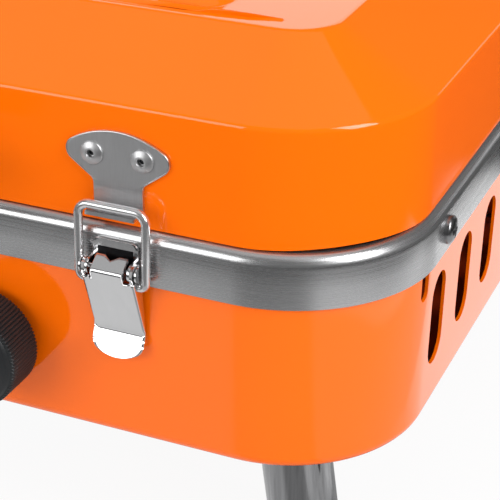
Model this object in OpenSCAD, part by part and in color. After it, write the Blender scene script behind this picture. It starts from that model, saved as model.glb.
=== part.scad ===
// Portable tabletop gas grill: a pressed-steel base and hinged lid with rounded corners, a steel
// trim band, two draw latches, two push-and-turn knobs and folding tube legs.
// +X is the user's right, -Y the front, +Z up; the origin lies on the table under the middle.

/* [Body] */
// Width over the trim band
body_w = 430; // [410:1:520]
// Depth over the trim band
body_d = 288; // [280:1:340]
// Corner radius in plan, over the trim band
corner_r = 52; // [48:1:60]
// Thickness of the pressed sheet of base and lid
sheet_t = 1.2; // [0.8:0.1:1.5]
// Depth of the base below the trim band
base_h = 62.4; // [60:0.2:80]
// How far the base walls lean in towards the floor
base_draft = 1.2; // [0.4:0.1:3]
// Outer radius between base wall and floor
base_fillet = 5; // [4:0.5:8]
// Diameter of the drain hole in the base floor
drain_d = 30; // [16:1:40]

/* [Trim band] */
// Height of the band's flat face
band_face_h = 14.5; // [13:0.5:20]
// Radius of the rolled top of the band
band_roll_r = 4.5; // [4:0.1:6]
// Sheet thickness of the band
band_t = 0.8; // [0.6:0.1:1.2]
// Height of the band screws above the band's lower edge
band_screw_z = 8.5; // [7:0.5:9]
// Distance of the band screws from the front and rear faces
band_screw_in = 63; // [58:1:90]
// Head diameter of the band screws
band_screw_head = 10; // [8:0.5:11]

/* [Lid] */
// How far the lid wall stands inside the band's face
lid_in = 3; // [2.5:0.1:4]
// Height of the lid's upright wall
lid_wall_h = 40.9; // [36:0.1:60]
// Run of the sloping shoulder towards the middle
shoulder_run = 32.5; // [20:0.5:38]
// Rise of the sloping shoulder
shoulder_rise = 20.1; // [12:0.1:40]
// Radius of the creases in the lid
crease_r = 2.5; // [1.5:0.1:6]
// Width of the raised panel on the lid
panel_w = 281; // [200:1:290]
// Depth of the raised panel on the lid
panel_d = 203; // [120:1:205]
// Corner radius of the raised panel
panel_r = 13; // [12:1:30]
// Height of the raised panel
panel_h = 5; // [3:0.5:8]
// Run of the raised panel's sloping edge
panel_run = 6; // [4:0.5:8]

/* [Vents] */
// Number of vent slots in each side wall
vent_count = 6; // [4:1:6]
// Distance of the first and last vent slot from the front and rear faces
vent_in = 63; // [60:1:80]
// Width of a vent slot
vent_w = 15.5; // [8:0.5:18]
// Length of a vent slot
vent_h = 35.5; // [20:0.5:36]
// Distance of the vent slots below the trim band
vent_drop = 8; // [6:0.5:12]
// Width of the short lighting slot at the front corners
light_w = 5.5; // [5:0.5:9]
// Distance of the lighting slot behind the front face
light_in = 46; // [43:0.5:48]
// Length of the lighting slot below the trim band
light_drop = 11; // [6:0.5:14]

/* [Latches] */
// Distance of each latch from the nearer side face
latch_in = 91.5; // [85:0.5:110]
// Width of the strike plate's head
strike_w = 37; // [34:0.5:40]
// Width of the strike plate's neck
neck_w = 17.4; // [16:0.2:20]
// Sheet thickness of strike plate and bracket
strike_t = 1.2; // [1:0.1:1.4]
// Distance between the two strike rivets
strike_pitch = 17.7; // [16:0.1:20]
// Head diameter of the rivets
rivet_head = 8; // [7:0.1:9]
// Shank diameter of the rivets
rivet_d = 4; // [3.2:0.1:4.2]
// Outer width of the wire bail
bail_w = 27; // [27:0.5:32]
// Wire diameter of the bail
wire_d = 3; // [2.5:0.1:3.2]
// Width of the lever's plate
lever_w = 18.8; // [18.4:0.2:19.6]
// Width of the lever's rolled strip
roll_w = 11.4; // [11:0.1:13]
// Sheet thickness of the lever
lever_t = 1; // [0.8:0.1:1.1]
// Diameter of the lever's pivot pin
latch_pin_d = 2; // [1.8:0.1:2.1]

/* [Handle] */
// Length of the grip
grip_l = 150; // [110:1:160]
// Diameter of the grip
grip_d = 17; // [14:0.5:20]
// Distance of the grip's axis in front of the lid wall
grip_reach = 33; // [28:1:40]
// Distance between the two posts
post_pitch = 110; // [80:1:110]
// Diameter of the posts
post_d = 10; // [9:0.5:12]

/* [Hinges] */
// Length of a hinge
hinge_l = 40; // [36:1:60]
// Diameter of the hinge pins
hinge_pin_d = 4; // [3:0.1:4.5]
// Outer diameter of the hinge knuckles
knuckle_d = 8; // [7.5:0.1:9]
// Sheet thickness of the hinge leaves
leaf_t = 1.2; // [1:0.1:1.5]

/* [Knobs and gas] */
// Distance of each knob from the nearer side face
knob_in = 141; // [135:1:160]
// Height of the knob axis below the trim band
knob_drop = 31.5; // [30:0.5:36]
// Diameter of the knobs
knob_d = 38; // [34:0.5:44]
// Length of a knob's ribbed skirt
knob_skirt = 16; // [14:0.5:20]
// Number of ribs round a knob
rib_n = 60; // [40:2:80]
// Depth of the ribs
rib_h = 0.6; // [0.4:0.1:1]
// How far a knob is pushed in before it turns
push = 3; // [2:0.5:3.5]
// Diameter of the valve stems
stem_d = 8; // [6:0.5:9]
// Diameter of the valve bodies
valve_d = 18; // [16:0.5:19]
// Diameter of the gas manifold
pipe_d = 10; // [8:0.5:11]
// Thread diameter of the gas inlet
inlet_d = 13.16; // [10:0.01:17]
// Length of the gas inlet outside the rear wall
inlet_l = 22; // [18:1:26]

/* [Burners and grate] */
// Diameter of the burner tubes
burner_d = 18; // [16:0.5:20]
// Distance between the two arms of a burner
arm_pitch = 58; // [50:1:60]
// Wall of the burner tubes
burner_wall = 1; // [0.8:0.1:1.5]
// Number of flame ports along each arm
port_n = 12; // [6:1:14]
// Diameter of a flame port
port_d = 2.4; // [2:0.1:3]
// Width of a flame tamer
tamer_w = 126; // [100:1:130]
// Rise of a flame tamer's ridge
tamer_rise = 8; // [6:0.5:9]
// Wire diameter of the grate's frame
frame_wire = 6; // [5:0.5:7]
// Wire diameter of the grate's bars
bar_wire = 4; // [3:0.5:5]
// Number of bars in the grate
bar_n = 23; // [11:2:27]

/* [Drip tray] */
// Width of the tray inside its rails
tray_w = 136; // [110:1:150]
// Length of the tray
tray_l = 216; // [160:1:220]
// Depth of the tray
tray_h = 15; // [10:0.5:20]
// Sheet thickness of tray and rails
tray_t = 1; // [0.8:0.1:1.2]

/* [Legs] */
// Height of the base's underside above the table
leg_clear = 48; // [46:1:60]
// Diameter of the leg tubes
leg_d = 25.4; // [22:0.1:28]
// Wall of the leg tubes
leg_wall = 1.2; // [1:0.1:2]
// Outward splay of the legs in degrees
leg_splay = 8; // [4:0.5:10]
// Distance of the leg pivot from the side face
leg_in_x = 42.8; // [42:0.2:50]
// Distance of the legs from front and rear faces
leg_in_y = 38; // [34:1:48]
// Thickness of the rubber feet
foot_h = 5; // [4.5:0.5:8]
// Width of the clamps that carry the leg frames
clamp_w = 16; // [12:1:20]

/* [Clearances] */
// Gap between pieces that move past each other
gap = 0.4; // [0.3:0.1:0.5]
// Radial clearance of a running pin
run_fit = 0.05; // [0.02:0.01:0.08]
// Radial clearance round a fixed fastener
hole_fit = 0.1; // [0.05:0.05:0.2]
// Gap between pieces that seat on each other
seat = 0.1; // [0.05:0.05:0.2]

/* [Hidden] */
$fn = 64;
rim_z = band_face_h - 1;
rim_in = band_t + seat * 2;
band_top = band_face_h + band_roll_r;
band_lip = 4.5;
band_z = leg_clear + base_h;
lid_z = band_top + gap - 0.1;
lid_crease_z = lid_z + lid_wall_h;
lid_top_z = lid_crease_z + shoulder_rise;
floor_in = rim_in + base_draft + base_fillet + 2;
floor_z = -base_h;
vent_pitch = (body_d - 2 * vent_in) / (vent_count - 1);
vent_y = body_d / 2 - vent_in;
front = -body_d / 2;
lid_face = front + lid_in;
latch_x = body_w / 2 - latch_in;
small_head = 6.8;
tip_l = 3;
post_bore = 14;

// Latch: places in the plane across the latch, y from the band's face (outward is minus), z from
// the band's lower edge
pivot = [-5, 6.6];
bail_pivot = [-4, 1.4];
flange_r = 3.7;
flange_t = lever_t;
flange_x = lever_w / 2;
ear_x = flange_x - flange_t - gap;
ear_t = 1;
pin_head_t = 0.5;
notch_w = 2.8;
notch_d = 1.3;
bar_y = -3;
bar_z = 27.4;
hook_z = bar_z - wire_d / 2 - gap;
hook_y = bar_y - wire_d / 2 - gap;
strike_z = 43.1;
strike_top = strike_z + 8.2;
bail_h = norm([bar_y, bar_z] - bail_pivot);
bail_tilt = atan2(bar_y - bail_pivot[0], bar_z - bail_pivot[1]);

// Hinge axis behind the rear face
hinge_y = body_d / 2 + seat + knuckle_d / 2;
hinge_z = lid_z + 1.7;
leaf_low = 10;
leaf_high = 26;
lid_knuckle = hinge_l / 2 - 2 * gap;
base_knuckle = hinge_l / 4;

knob_x = body_w / 2 - knob_in;
knob_z = -knob_drop;
knob_gap = push + 2 * gap;
knob_front = 3;
knob_wall = 4;
valve_screw_x = knob_d / 2 - knob_wall - small_head / 2 - gap;
flange_l = 2 * valve_screw_x + small_head + 4;
flange_h = 14;
wall_y = front + base_in(knob_z);
lean = base_draft / (rim_z + base_h);
valve_y = wall_y + sheet_t + 2 * seat + flange_h / 2 * lean;
valve_l = 24;
valve_plate = 2;
stub_d = 6;
pipe_y = valve_y + 14;
pipe_z = knob_z - valve_d / 2 - pipe_d / 2 - seat;
rear_y = body_d / 2 - base_in(pipe_z);
nozzle_l = 9;
nut_t = 5;
bulk_d = inlet_d + 1;
hex_l = 9;
hex_seat = sheet_t + 2 * seat + (bulk_d + 7) / 2 * lean;
bulk_l = nut_t + 3 * seat + 0.7;
burner_y0 = valve_y + valve_l + nozzle_l - 3;
burner_y1 = body_d / 2 - floor_in - arm_pitch / 2 - burner_d / 2 - 4;
arm_y0 = burner_y0 + 12;
stand_front = 30;
stand_rear = 12;
tamer_slot_w = 6;
tamer_slot_l = 26;
stand_t = 1.5;
rail_leg = 12;
rail_t = 1.2;
rail_z = -11.3;
tamer_x = knob_x + arm_pitch / 2;
tamer_t = 1;

grate_in = 2 * band_roll_r + 2;
grate_z = 4;
shelf_z = grate_z - frame_wire / 2 - seat * 3;
shelf_t = 1.2;
shelf_w = 18;
shelf_h = 11;
shelf_over = 3;

tray_drop = 7;
tray_flange = 9;
lip_in = 6;
rail_over = 4;
rail_foot = 12;
pull_l = 14;

leg_top_gap = 1.3;
leg_x = body_w / 2 - leg_in_x;
leg_y = body_d / 2 - leg_in_y;
leg_z = floor_z - leg_top_gap - leg_d / 2;
leg_l = (leg_clear - leg_top_gap - leg_d / 2) / cos(leg_splay);
foot_d = leg_d + 1.4;
plug_l = 8;
clamp_t = 1.5;
clamp_y = leg_y * 0.66;
clamp_foot = 13;
stop_w = 18;
stop_foot = 11;

front_reach = max(grip_reach + grip_d / 2 - lid_face, knob_gap + knob_skirt + knob_front - wall_y);
rear_reach = max(rear_y + inlet_l, hinge_y + knuckle_d / 2);
y_shift = (front_reach - rear_reach) / 2;

orange = [1, 0.44, 0.06];
steel = [0.72, 0.72, 0.73];
bright = [0.82, 0.82, 0.84];
black = [0.07, 0.07, 0.08];
brass = [0.8, 0.62, 0.3];
dark = [0.2, 0.2, 0.21];

// Distance of the base's outer face inside the band's face, at height z
function base_in(z) = rim_in + (rim_z - z) * base_draft / (rim_z + base_h);

function unit(v) = v / norm(v);
function left_of(a, b) = let (u = unit(b - a)) [-u[1], u[0]];

// Point i of polyline p, moved sideways by t with a mitre
function aside(p, i, t) =
  let (n = len(p))
  let (before = left_of(p[max(i - 1, 0)], p[max(i, 1)]))
  let (after = left_of(p[min(i, n - 2)], p[min(i + 1, n - 1)]))
  let (m = unit(before + after))
  p[i] + m * t / (m * before);

// Outline of a sheet of thickness t along polyline p, on its left side where t is positive
function sheet(p, t) = concat(p, [for (i = [len(p) - 1 : -1 : 0]) aside(p, i, t)]);

// Points of the arc of radius r that rounds corner b between a and c, in n steps
function rounding(a, b, c, r, n = 5) =
  let (u = unit(a - b))
  let (v = unit(c - b))
  let (half = acos(u * v) / 2)
  let (mid = b + unit(u + v) * r / sin(half))
  let (from = b + u * r / tan(half) - mid)
  let (to = b + v * r / tan(half) - mid)
  let (a0 = atan2(from[1], from[0]))
  let (turn = (atan2(to[1], to[0]) - a0 + 540) % 360 - 180)
  [for (i = [0 : n]) mid + r * [cos(a0 + turn * i / n), sin(a0 + turn * i / n)]];

// Points of an arc from angle a0 to a1
function arc(mid, r, a0, a1, n) =
  [for (i = [0 : n]) mid + r * [cos(a0 + (a1 - a0) * i / n), sin(a0 + (a1 - a0) * i / n)]];

// From the middle of the band's lower edge to the table frame
module placed() translate([0, y_shift, band_z]) children();

// A flat outline in y and z, drawn out along x
module along_x(l) rotate([90, 0, 90]) linear_extrude(l, center = true) children();

// A flat outline in x and z, drawn out along y
module along_y(l) rotate([90, 0, 0]) linear_extrude(l, center = true) children();

module rounded_rect(w, d, r) {
  square([w - 2 * r, d], center = true);
  square([w, d - 2 * r], center = true);
  for (x = [-1, 1], y = [-1, 1])
    translate([x * (w / 2 - r), y * (d / 2 - r)])
      circle(r);
}

// A profile carried round a rounded rectangle: x is the distance inside its edge, y the height
module ring(w, d, r) {
  for (k = [0 : 3]) {
    wk = k % 2 == 0 ? w : d;
    dk = k % 2 == 0 ? d : w;
    rotate([0, 0, 90 * k]) {
      translate([wk / 2 - r, dk / 2 - r, 0])
        rotate_extrude(angle = 90)
          translate([r, 0])
            mirror([1, 0])
              children();
      translate([wk / 2, dk / 2 - r, 0])
        rotate([90, 0, 0])
          linear_extrude(dk - 2 * r)
            mirror([1, 0])
              children();
    }
  }
}

module slot_outline(w, h) {
  square([w, h - w], center = true);
  for (s = [-1, 1])
    translate([0, s * (h - w) / 2])
      circle(w / 2);
}

// A fastener along z: head above z = 0, shank below
module screw(head_d, head_h, shank_d, l) {
  rotate_extrude()
    polygon([[0, 0], [head_d / 2, 0], [head_d / 2, head_h * 0.45], [head_d * 0.32, head_h], [0, head_h]]);
  translate([0, 0, -l])
    cylinder(d = shank_d, h = l + head_h / 4);
}

// A blind rivet along z: domed flange above z = 0, formed tail behind the grip
module rivet(grip) {
  dome_h = rivet_head * 0.22;
  hole_r = rivet_d * 0.28;
  rotate_extrude()
    polygon([
      [hole_r, -grip], [rivet_d / 2, -grip], [rivet_d / 2, 0], [rivet_head / 2, 0],
      [rivet_head / 2, dome_h * 0.25], [rivet_head * 0.36, dome_h * 0.8], [rivet_head * 0.22, dome_h],
      [hole_r, dome_h * 0.7]
    ]);
  translate([0, 0, -grip - 3])
    cylinder(d = rivet_d * 1.35, h = 3);
}

// Turned so that z points out of the front, rear, or one side
module facing_front() rotate([90, 0, 0]) children();
module facing_rear() rotate([-90, 0, 0]) children();
module facing_side(s) rotate([0, s * 90, 0]) children();

module at_latch(s) translate([s * latch_x, front, 0]) children();
module at_knob(s) translate([s * knob_x, wall_y, knob_z]) children();
module at_strike_rivets()
  for (s = [-1, 1])
    translate([s * strike_pitch / 2, lid_in - seat - strike_t, strike_z])
      facing_front()
        children();

module band_screw_places()
  for (x = [-1, 1], y = [-1, 1])
    translate([x * body_w / 2, y * (body_d / 2 - band_screw_in), band_screw_z])
      facing_side(x)
        children();

module handle_post_places()
  for (s = [-1, 1])
    translate([s * post_pitch / 2, lid_face, lid_z + lid_wall_h * 0.55])
      facing_front()
        children();

module hinge_base_rivet_places()
  for (s = [-1, 1], k = [-1, 1])
    translate([s * latch_x + k * hinge_l * 0.3, body_d / 2 + seat + leaf_t, rim_z * 0.5])
      facing_rear()
        children();

module hinge_lid_rivet_places()
  for (s = [-1, 1], k = [-1, 1])
    translate([
      s * latch_x + k * hinge_l * 0.3, body_d / 2 - lid_in + seat + leaf_t,
      hinge_z + (leaf_low + leaf_high) / 2
    ])
      facing_rear()
        children();

module valve_screw_places()
  for (s = [-1, 1], k = [-1, 1])
    at_knob(s)
      translate([k * valve_screw_x, 0, 0])
        facing_front()
          children();

module leg_places()
  for (x = [-1, 1], y = [-1, 1])
    translate([x * leg_x, y * clamp_y, leg_z])
      children();

module clamp_screw_places()
  leg_places()
    for (k = [-1, 1])
      translate([k * (leg_d / 2 + clamp_t + clamp_foot / 2), 0, 0])
        children();

module base_shell() color(orange) placed() {
  line = concat(
    [[rim_in, rim_z]],
    rounding([rim_in, rim_z], [rim_in + base_draft, floor_z], [floor_in, floor_z], base_fillet),
    [[floor_in, floor_z]]
  );
  difference() {
    union() {
      ring(body_w, body_d, corner_r)
        polygon(sheet(line, sheet_t));
      translate([0, 0, floor_z])
        linear_extrude(sheet_t)
          rounded_rect(body_w - 2 * floor_in + 1, body_d - 2 * floor_in + 1, corner_r - floor_in + 0.5);
    }
    for (i = [0 : vent_count - 1])
      translate([0, i * vent_pitch - vent_y, -vent_drop - vent_h / 2])
        along_x(body_w)
          slot_outline(vent_w, vent_h);
    for (s = [-1, 1])
      translate([s * body_w / 2, front + light_in, 0])
        along_x(light_w * 6)
          slot_outline(light_w, 2 * light_drop);
    for (s = [-1, 1])
      at_knob(s)
        facing_front()
          cylinder(d = stem_d + 3, h = 4 * sheet_t, center = true);
    valve_screw_places()
      cylinder(d = rivet_d + 2 * hole_fit, h = 4 * sheet_t, center = true);
    translate([0, rear_y, pipe_z])
      facing_rear()
        cylinder(d = bulk_d + 2 * hole_fit, h = 4 * sheet_t, center = true);
    band_screw_places()
      cylinder(d = rivet_d + 2 * hole_fit, h = 16, center = true);
    hinge_base_rivet_places()
      cylinder(d = rivet_d + 2 * hole_fit, h = 16, center = true);
    hinge_base_rivet_places()
      translate([0, 0, -16])
        cylinder(d = rivet_d * 1.35 + 2 * hole_fit, h = 12);
    clamp_screw_places()
      translate([0, 0, floor_z - leg_z])
        cylinder(d = rivet_d + 2 * hole_fit, h = 4 * sheet_t, center = true);
    translate([0, 0, floor_z - 1])
      cylinder(d = drain_d, h = sheet_t + 2);
  }
}

module trim_band() color(steel) placed() {
  mid = [band_roll_r, band_face_h];
  line = concat(
    [[0, 0]],
    arc(mid, band_roll_r, 180, 0, 10),
    [[2 * band_roll_r, band_face_h - band_lip]]
  );
  difference() {
    ring(body_w, body_d, corner_r)
      polygon(sheet(line, -band_t));
    band_screw_places()
      cylinder(d = rivet_d + 2 * hole_fit, h = 4 * band_t, center = true);
    hinge_base_rivet_places()
      cylinder(d = rivet_d + 2 * hole_fit, h = 8, center = true);
  }
}

module band_screws() color(bright) placed()
  band_screw_places()
    screw(band_screw_head, band_screw_head * 0.28, rivet_d, band_t + sheet_t + tip_l);

module lid_shell() color(orange) placed() {
  wall = [[lid_in, lid_z], [lid_in, lid_crease_z], [lid_in + shoulder_run, lid_top_z]];
  rim = lid_in + shoulder_run + 8;
  line = concat(
    [wall[0]],
    rounding(wall[0], wall[1], wall[2], crease_r),
    rounding(wall[1], wall[2], [rim, lid_top_z], crease_r * 2),
    [[rim, lid_top_z]]
  );
  foot = 3;
  step = [[-foot, lid_top_z], [0, lid_top_z], [panel_run, lid_top_z + panel_h]];
  step_end = [panel_run + 3, lid_top_z + panel_h];
  panel_line = concat(
    [step[0]],
    rounding(step[0], step[1], step[2], crease_r, 3),
    rounding(step[1], step[2], step_end, crease_r, 3),
    [step_end]
  );
  lap = 0.5;
  difference() {
    union() {
      ring(body_w, body_d, corner_r)
        polygon(sheet(line, -sheet_t));
      translate([0, 0, lid_top_z - sheet_t])
        linear_extrude(sheet_t)
          difference() {
            rounded_rect(body_w - 2 * (rim - lap), body_d - 2 * (rim - lap), corner_r - rim + lap);
            rounded_rect(panel_w + 2 * (foot - lap), panel_d + 2 * (foot - lap), panel_r + foot - lap);
          }
      ring(panel_w, panel_d, panel_r)
        polygon(sheet(panel_line, -sheet_t));
      translate([0, 0, step_end[1] - sheet_t])
        linear_extrude(sheet_t)
          rounded_rect(
            panel_w - 2 * (step_end[0] - lap), panel_d - 2 * (step_end[0] - lap),
            panel_r - step_end[0] + lap
          );
    }
    for (s = [-1, 1])
      at_latch(s)
        at_strike_rivets()
          cylinder(d = rivet_d + 2 * hole_fit, h = 12, center = true);
    hinge_lid_rivet_places()
      cylinder(d = rivet_d + 2 * hole_fit, h = 12, center = true);
    handle_post_places()
      cylinder(d = rivet_d + 2 * hole_fit, h = 12, center = true);
  }
}

module handle_grip() color(black) placed() {
  z = lid_z + lid_wall_h * 0.55;
  end_r = grip_d / 2;
  difference() {
    translate([0, lid_face - grip_reach, z])
      rotate([0, 90, 0])
        rotate_extrude()
          polygon(concat(
            [[0, -grip_l / 2]],
            rounding([0, -grip_l / 2], [end_r * 0.9, -grip_l / 2], [end_r, 0], 4),
            [[end_r, 0]],
            rounding([end_r, 0], [end_r * 0.9, grip_l / 2], [0, grip_l / 2], 4),
            [[0, grip_l / 2]]
          ));
    handle_post_places()
      cylinder(d = post_d + 2 * hole_fit, h = grip_reach - grip_d / 2 + 6 + seat);
  }
}

module handle_posts() color(bright) placed()
  handle_post_places()
    difference() {
      union() {
        translate([0, 0, seat])
          cylinder(d = post_d, h = grip_reach - grip_d / 2 + 6 - seat);
        translate([0, 0, seat])
          cylinder(d1 = post_d + 6, d2 = post_d, h = 4);
      }
      cylinder(d = rivet_d + 2 * hole_fit, h = post_bore);
    }

module handle_screws() color(bright) placed()
  handle_post_places()
    translate([0, 0, -sheet_t - seat])
      rotate([180, 0, 0])
        screw(small_head + 2, small_head * 0.37, rivet_d, post_bore - 2);

// Mushroom-shaped outline of the strike plate, seen from the front
module strike_outline() {
  half = strike_w / 2;
  top_r = 30;
  end = half * 0.82;
  low = [neck_w / 2, hook_z - 2 * strike_t];
  shoulder = [neck_w / 2, strike_z - 8.9];
  tip = [half + 3, strike_z + 0.6];
  crown = arc([0, strike_top - top_r], top_r, 90 - asin(end / top_r), 90, 8);
  right = concat(
    [low],
    rounding(low, shoulder, tip, 2.5, 4),
    rounding(shoulder, tip, crown[0], 4, 6),
    crown
  );
  polygon(concat(right, [for (i = [len(right) - 2 : -1 : 0]) [-right[i][0], right[i][1]]]));
}

// Plate on the lid, its neck turned out and up into a hook
module strike_plate(s) color(steel) placed() at_latch(s) {
  back = lid_in - seat;
  top = [back, strike_top + 1];
  bend = [back, hook_z - strike_t];
  toe = [hook_y, hook_z - strike_t];
  line = concat([top], rounding(top, bend, toe, 1.9), [toe]);
  difference() {
    intersection() {
      along_x(strike_w + 8)
        polygon(sheet(line, -strike_t));
      translate([0, 4 * lid_in, 0])
        rotate([90, 0, 0])
          linear_extrude(8 * lid_in)
            strike_outline();
    }
    at_strike_rivets()
      cylinder(d = rivet_d + 2 * hole_fit, h = 8, center = true);
  }
}
module strike_plate_left() strike_plate(-1);
module strike_plate_right() strike_plate(1);

module strike_rivets() color(bright) placed()
  for (s = [-1, 1])
    at_latch(s)
      at_strike_rivets()
        rivet(strike_t + sheet_t + 2 * seat);

// Channel on the band with two ears for the lever's pivot and a window in which the rolled strip turns
module latch_bracket(s) color(steel) placed() at_latch(s) {
  plate_y = -seat - strike_t;
  ear_r = flange_r - 0.8;
  window_w = roll_w + 1;
  difference() {
    union() {
      translate([-ear_x, plate_y, 1])
        cube([2 * ear_x, strike_t, 14]);
      for (k = [-1, 1])
        translate([k * (ear_x - ear_t / 2), 0, 0])
          along_x(ear_t) {
            translate(pivot)
              circle(ear_r);
            translate([pivot[0], pivot[1] - ear_r])
              square([plate_y - pivot[0] + strike_t / 2, 2 * ear_r]);
          }
    }
    translate([-window_w / 2, plate_y - 1, pivot[1] - 3.4])
      cube([window_w, strike_t + 2, 7.2]);
    translate([0, pivot[0], pivot[1]])
      rotate([0, 90, 0])
        cylinder(d = latch_pin_d + 2 * run_fit, h = 3 * lever_w, center = true);
  }
}
module latch_bracket_left() latch_bracket(-1);
module latch_bracket_right() latch_bracket(1);

// Over-centre lever: strip over the pivot, flanged plate, flared finger tongue
module latch_lever(s) color(bright) placed() at_latch(s) {
  curl = pivot + [1.5, 4];
  bend = pivot + [-3.8, 0.2];
  heel = pivot + [4.9, -25.6];
  tip = heel + [-3.5, -8.2];
  down = unit(heel - bend);
  inward = [-down[1], down[0]];
  tongue = norm(tip - heel);
  flare = atan2(heel[0] - tip[0], heel[1] - tip[1]);
  line = concat(
    [curl],
    rounding(curl, bend, heel, 1.6),
    rounding(bend, heel, tip, 1.2),
    [tip + unit(tip - heel) * lever_t]
  );
  relief_w = lever_w - roll_w;
  relief = bend + down * 3.5 - inward * 3;
  flange_low = heel - down * 3 + inward * lever_t / 2;
  flange_top = bend + down + inward * lever_t / 2;
  difference() {
    union() {
      difference() {
        along_x(lever_w)
          polygon(sheet(line, lever_t));
        for (k = [-1, 1])
          translate([k * (roll_w + relief_w) / 2, 0, 0])
            along_x(relief_w)
              polygon([
                relief, relief + inward * 12, relief + inward * 12 - down * 14, relief - down * 14
              ]);
        translate([0, heel[0], heel[1]])
          rotate([-flare, 0, 0])
            rotate([90, 0, 0])
              linear_extrude(8 * lever_t, center = true)
                difference() {
                  translate([-lever_w, -2 * tongue])
                    square([2 * lever_w, 1.65 * tongue]);
                  translate([0, lever_w * 0.62 - tongue])
                    circle(lever_w * 0.62);
                }
        translate([0, curl[0] + lever_t, curl[1] - 4 * lever_t])
          linear_extrude(6 * lever_t)
            polygon([[-notch_w, 0], [notch_w, 0], [0, -notch_d - lever_t]]);
      }
      for (k = [-1, 1])
        translate([k * (flange_x - flange_t / 2), 0, 0])
          along_x(flange_t) {
            translate(pivot)
              circle(flange_r);
            translate(bail_pivot)
              circle(2.9);
            polygon([
              pivot + [flange_r * 0.9, 0], bail_pivot + [2.6, 0], flange_low, flange_top,
              pivot - [flange_r * 0.6, 0]
            ]);
          }
    }
    translate([0, pivot[0], pivot[1]])
      rotate([0, 90, 0])
        cylinder(d = latch_pin_d + 2 * run_fit, h = 3 * lever_w, center = true);
    translate([0, bail_pivot[0], bail_pivot[1]])
      rotate([0, 90, 0])
        cylinder(d = wire_d + 2 * run_fit, h = 3 * lever_w, center = true);
  }
}
module latch_lever_left() latch_lever(-1);
module latch_lever_right() latch_lever(1);

module latch_pin(s) color(bright) placed() at_latch(s)
  translate([0, pivot[0], pivot[1]])
    rotate([0, 90, 0]) {
      cylinder(d = latch_pin_d, h = lever_w + 2 * gap, center = true);
      for (k = [-1, 1])
        translate([0, 0, k * (lever_w / 2 + gap + pin_head_t / 2)])
          cylinder(d = 2.8 * latch_pin_d, h = pin_head_t, center = true);
    }
module latch_pin_left() latch_pin(-1);
module latch_pin_right() latch_pin(1);

// Wire loop hung in the lever's flanges; its bar stands just in front of the hook
module latch_bail(s) color(bright) placed() at_latch(s)
  translate([0, bail_pivot[0], bail_pivot[1]])
    rotate([-bail_tilt, 0, 0]) {
      x = (bail_w - wire_d) / 2;
      top_r = 4;
      low_r = 2.2;
      pin_x = flange_x - flange_t;
      translate([0, 0, bail_h])
        rotate([0, 90, 0])
          cylinder(d = wire_d, h = 2 * (x - top_r), center = true);
      for (k = [0, 1])
        mirror([k, 0, 0]) {
          translate([x - top_r, 0, bail_h - top_r])
            rotate([90, 0, 0])
              rotate_extrude(angle = 90)
                translate([top_r, 0])
                  circle(d = wire_d);
          translate([x, 0, low_r])
            cylinder(d = wire_d, h = bail_h - top_r - low_r);
          translate([x - low_r, 0, low_r])
            rotate([90, 90, 0])
              mirror([1, 0, 0])
                rotate([0, 0, 90])
                  rotate_extrude(angle = 90)
                    translate([low_r, 0])
                      circle(d = wire_d);
          translate([pin_x, 0, 0])
            rotate([0, 90, 0])
              cylinder(d = wire_d, h = x - low_r - pin_x);
        }
    }
module latch_bail_left() latch_bail(-1);
module latch_bail_right() latch_bail(1);

module hinge_base_leaf(s) color(steel) placed() translate([s * latch_x, 0, 0]) {
  back = body_d / 2 + seat;
  difference() {
    union() {
      translate([-hinge_l / 2, back, 1])
        cube([hinge_l, leaf_t, rim_z - 1]);
      for (k = [-1, 1])
        translate([k * (hinge_l - base_knuckle) / 2, 0, 0])
          along_x(base_knuckle) {
            translate([hinge_y, hinge_z])
              circle(d = knuckle_d);
            translate([back, rim_z - 2])
              square([leaf_t, hinge_z - rim_z + 2]);
          }
    }
    translate([0, hinge_y, hinge_z])
      rotate([0, 90, 0])
        cylinder(d = hinge_pin_d + 2 * run_fit, h = 2 * hinge_l, center = true);
    translate([-s * latch_x, 0, 0])
      hinge_base_rivet_places()
        cylinder(d = rivet_d + 2 * hole_fit, h = 8, center = true);
  }
}
module hinge_base_leaf_left() hinge_base_leaf(-1);
module hinge_base_leaf_right() hinge_base_leaf(1);

module hinge_lid_leaf(s) color(steel) placed() translate([s * latch_x, 0, 0]) {
  back = body_d / 2 - lid_in + seat;
  low = hinge_z + leaf_low;
  high = hinge_z + leaf_high;
  out = hinge_y - knuckle_d / 2 + leaf_t;
  difference() {
    union() {
      translate([-hinge_l / 2, back, low])
        cube([hinge_l, leaf_t, high - low]);
      along_x(lid_knuckle) {
        translate([hinge_y, hinge_z])
          circle(d = knuckle_d);
        polygon(sheet([
          [back, low + leaf_t], [back, low],
          [out - leaf_t, hinge_z + knuckle_d / 2], [out - leaf_t, hinge_z]
        ], leaf_t));
      }
    }
    translate([0, hinge_y, hinge_z])
      rotate([0, 90, 0])
        cylinder(d = hinge_pin_d + 2 * run_fit, h = 2 * hinge_l, center = true);
    translate([-s * latch_x, 0, 0])
      hinge_lid_rivet_places()
        cylinder(d = rivet_d + 2 * hole_fit, h = 8, center = true);
  }
}
module hinge_lid_leaf_left() hinge_lid_leaf(-1);
module hinge_lid_leaf_right() hinge_lid_leaf(1);

module hinge_pin(s) color(bright) placed()
  translate([s * latch_x, hinge_y, hinge_z])
    rotate([0, 90, 0]) {
      cylinder(d = hinge_pin_d, h = hinge_l + 2 * gap, center = true);
      for (k = [-1, 1])
        translate([0, 0, k * (hinge_l / 2 + gap + 0.5)])
          cylinder(d = hinge_pin_d + 2, h = 1, center = true);
    }
module hinge_pin_left() hinge_pin(-1);
module hinge_pin_right() hinge_pin(1);

module hinge_base_rivets() color(bright) placed()
  hinge_base_rivet_places()
    rivet(leaf_t + band_t + sheet_t + 4 * seat + base_draft * 0.3);

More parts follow.
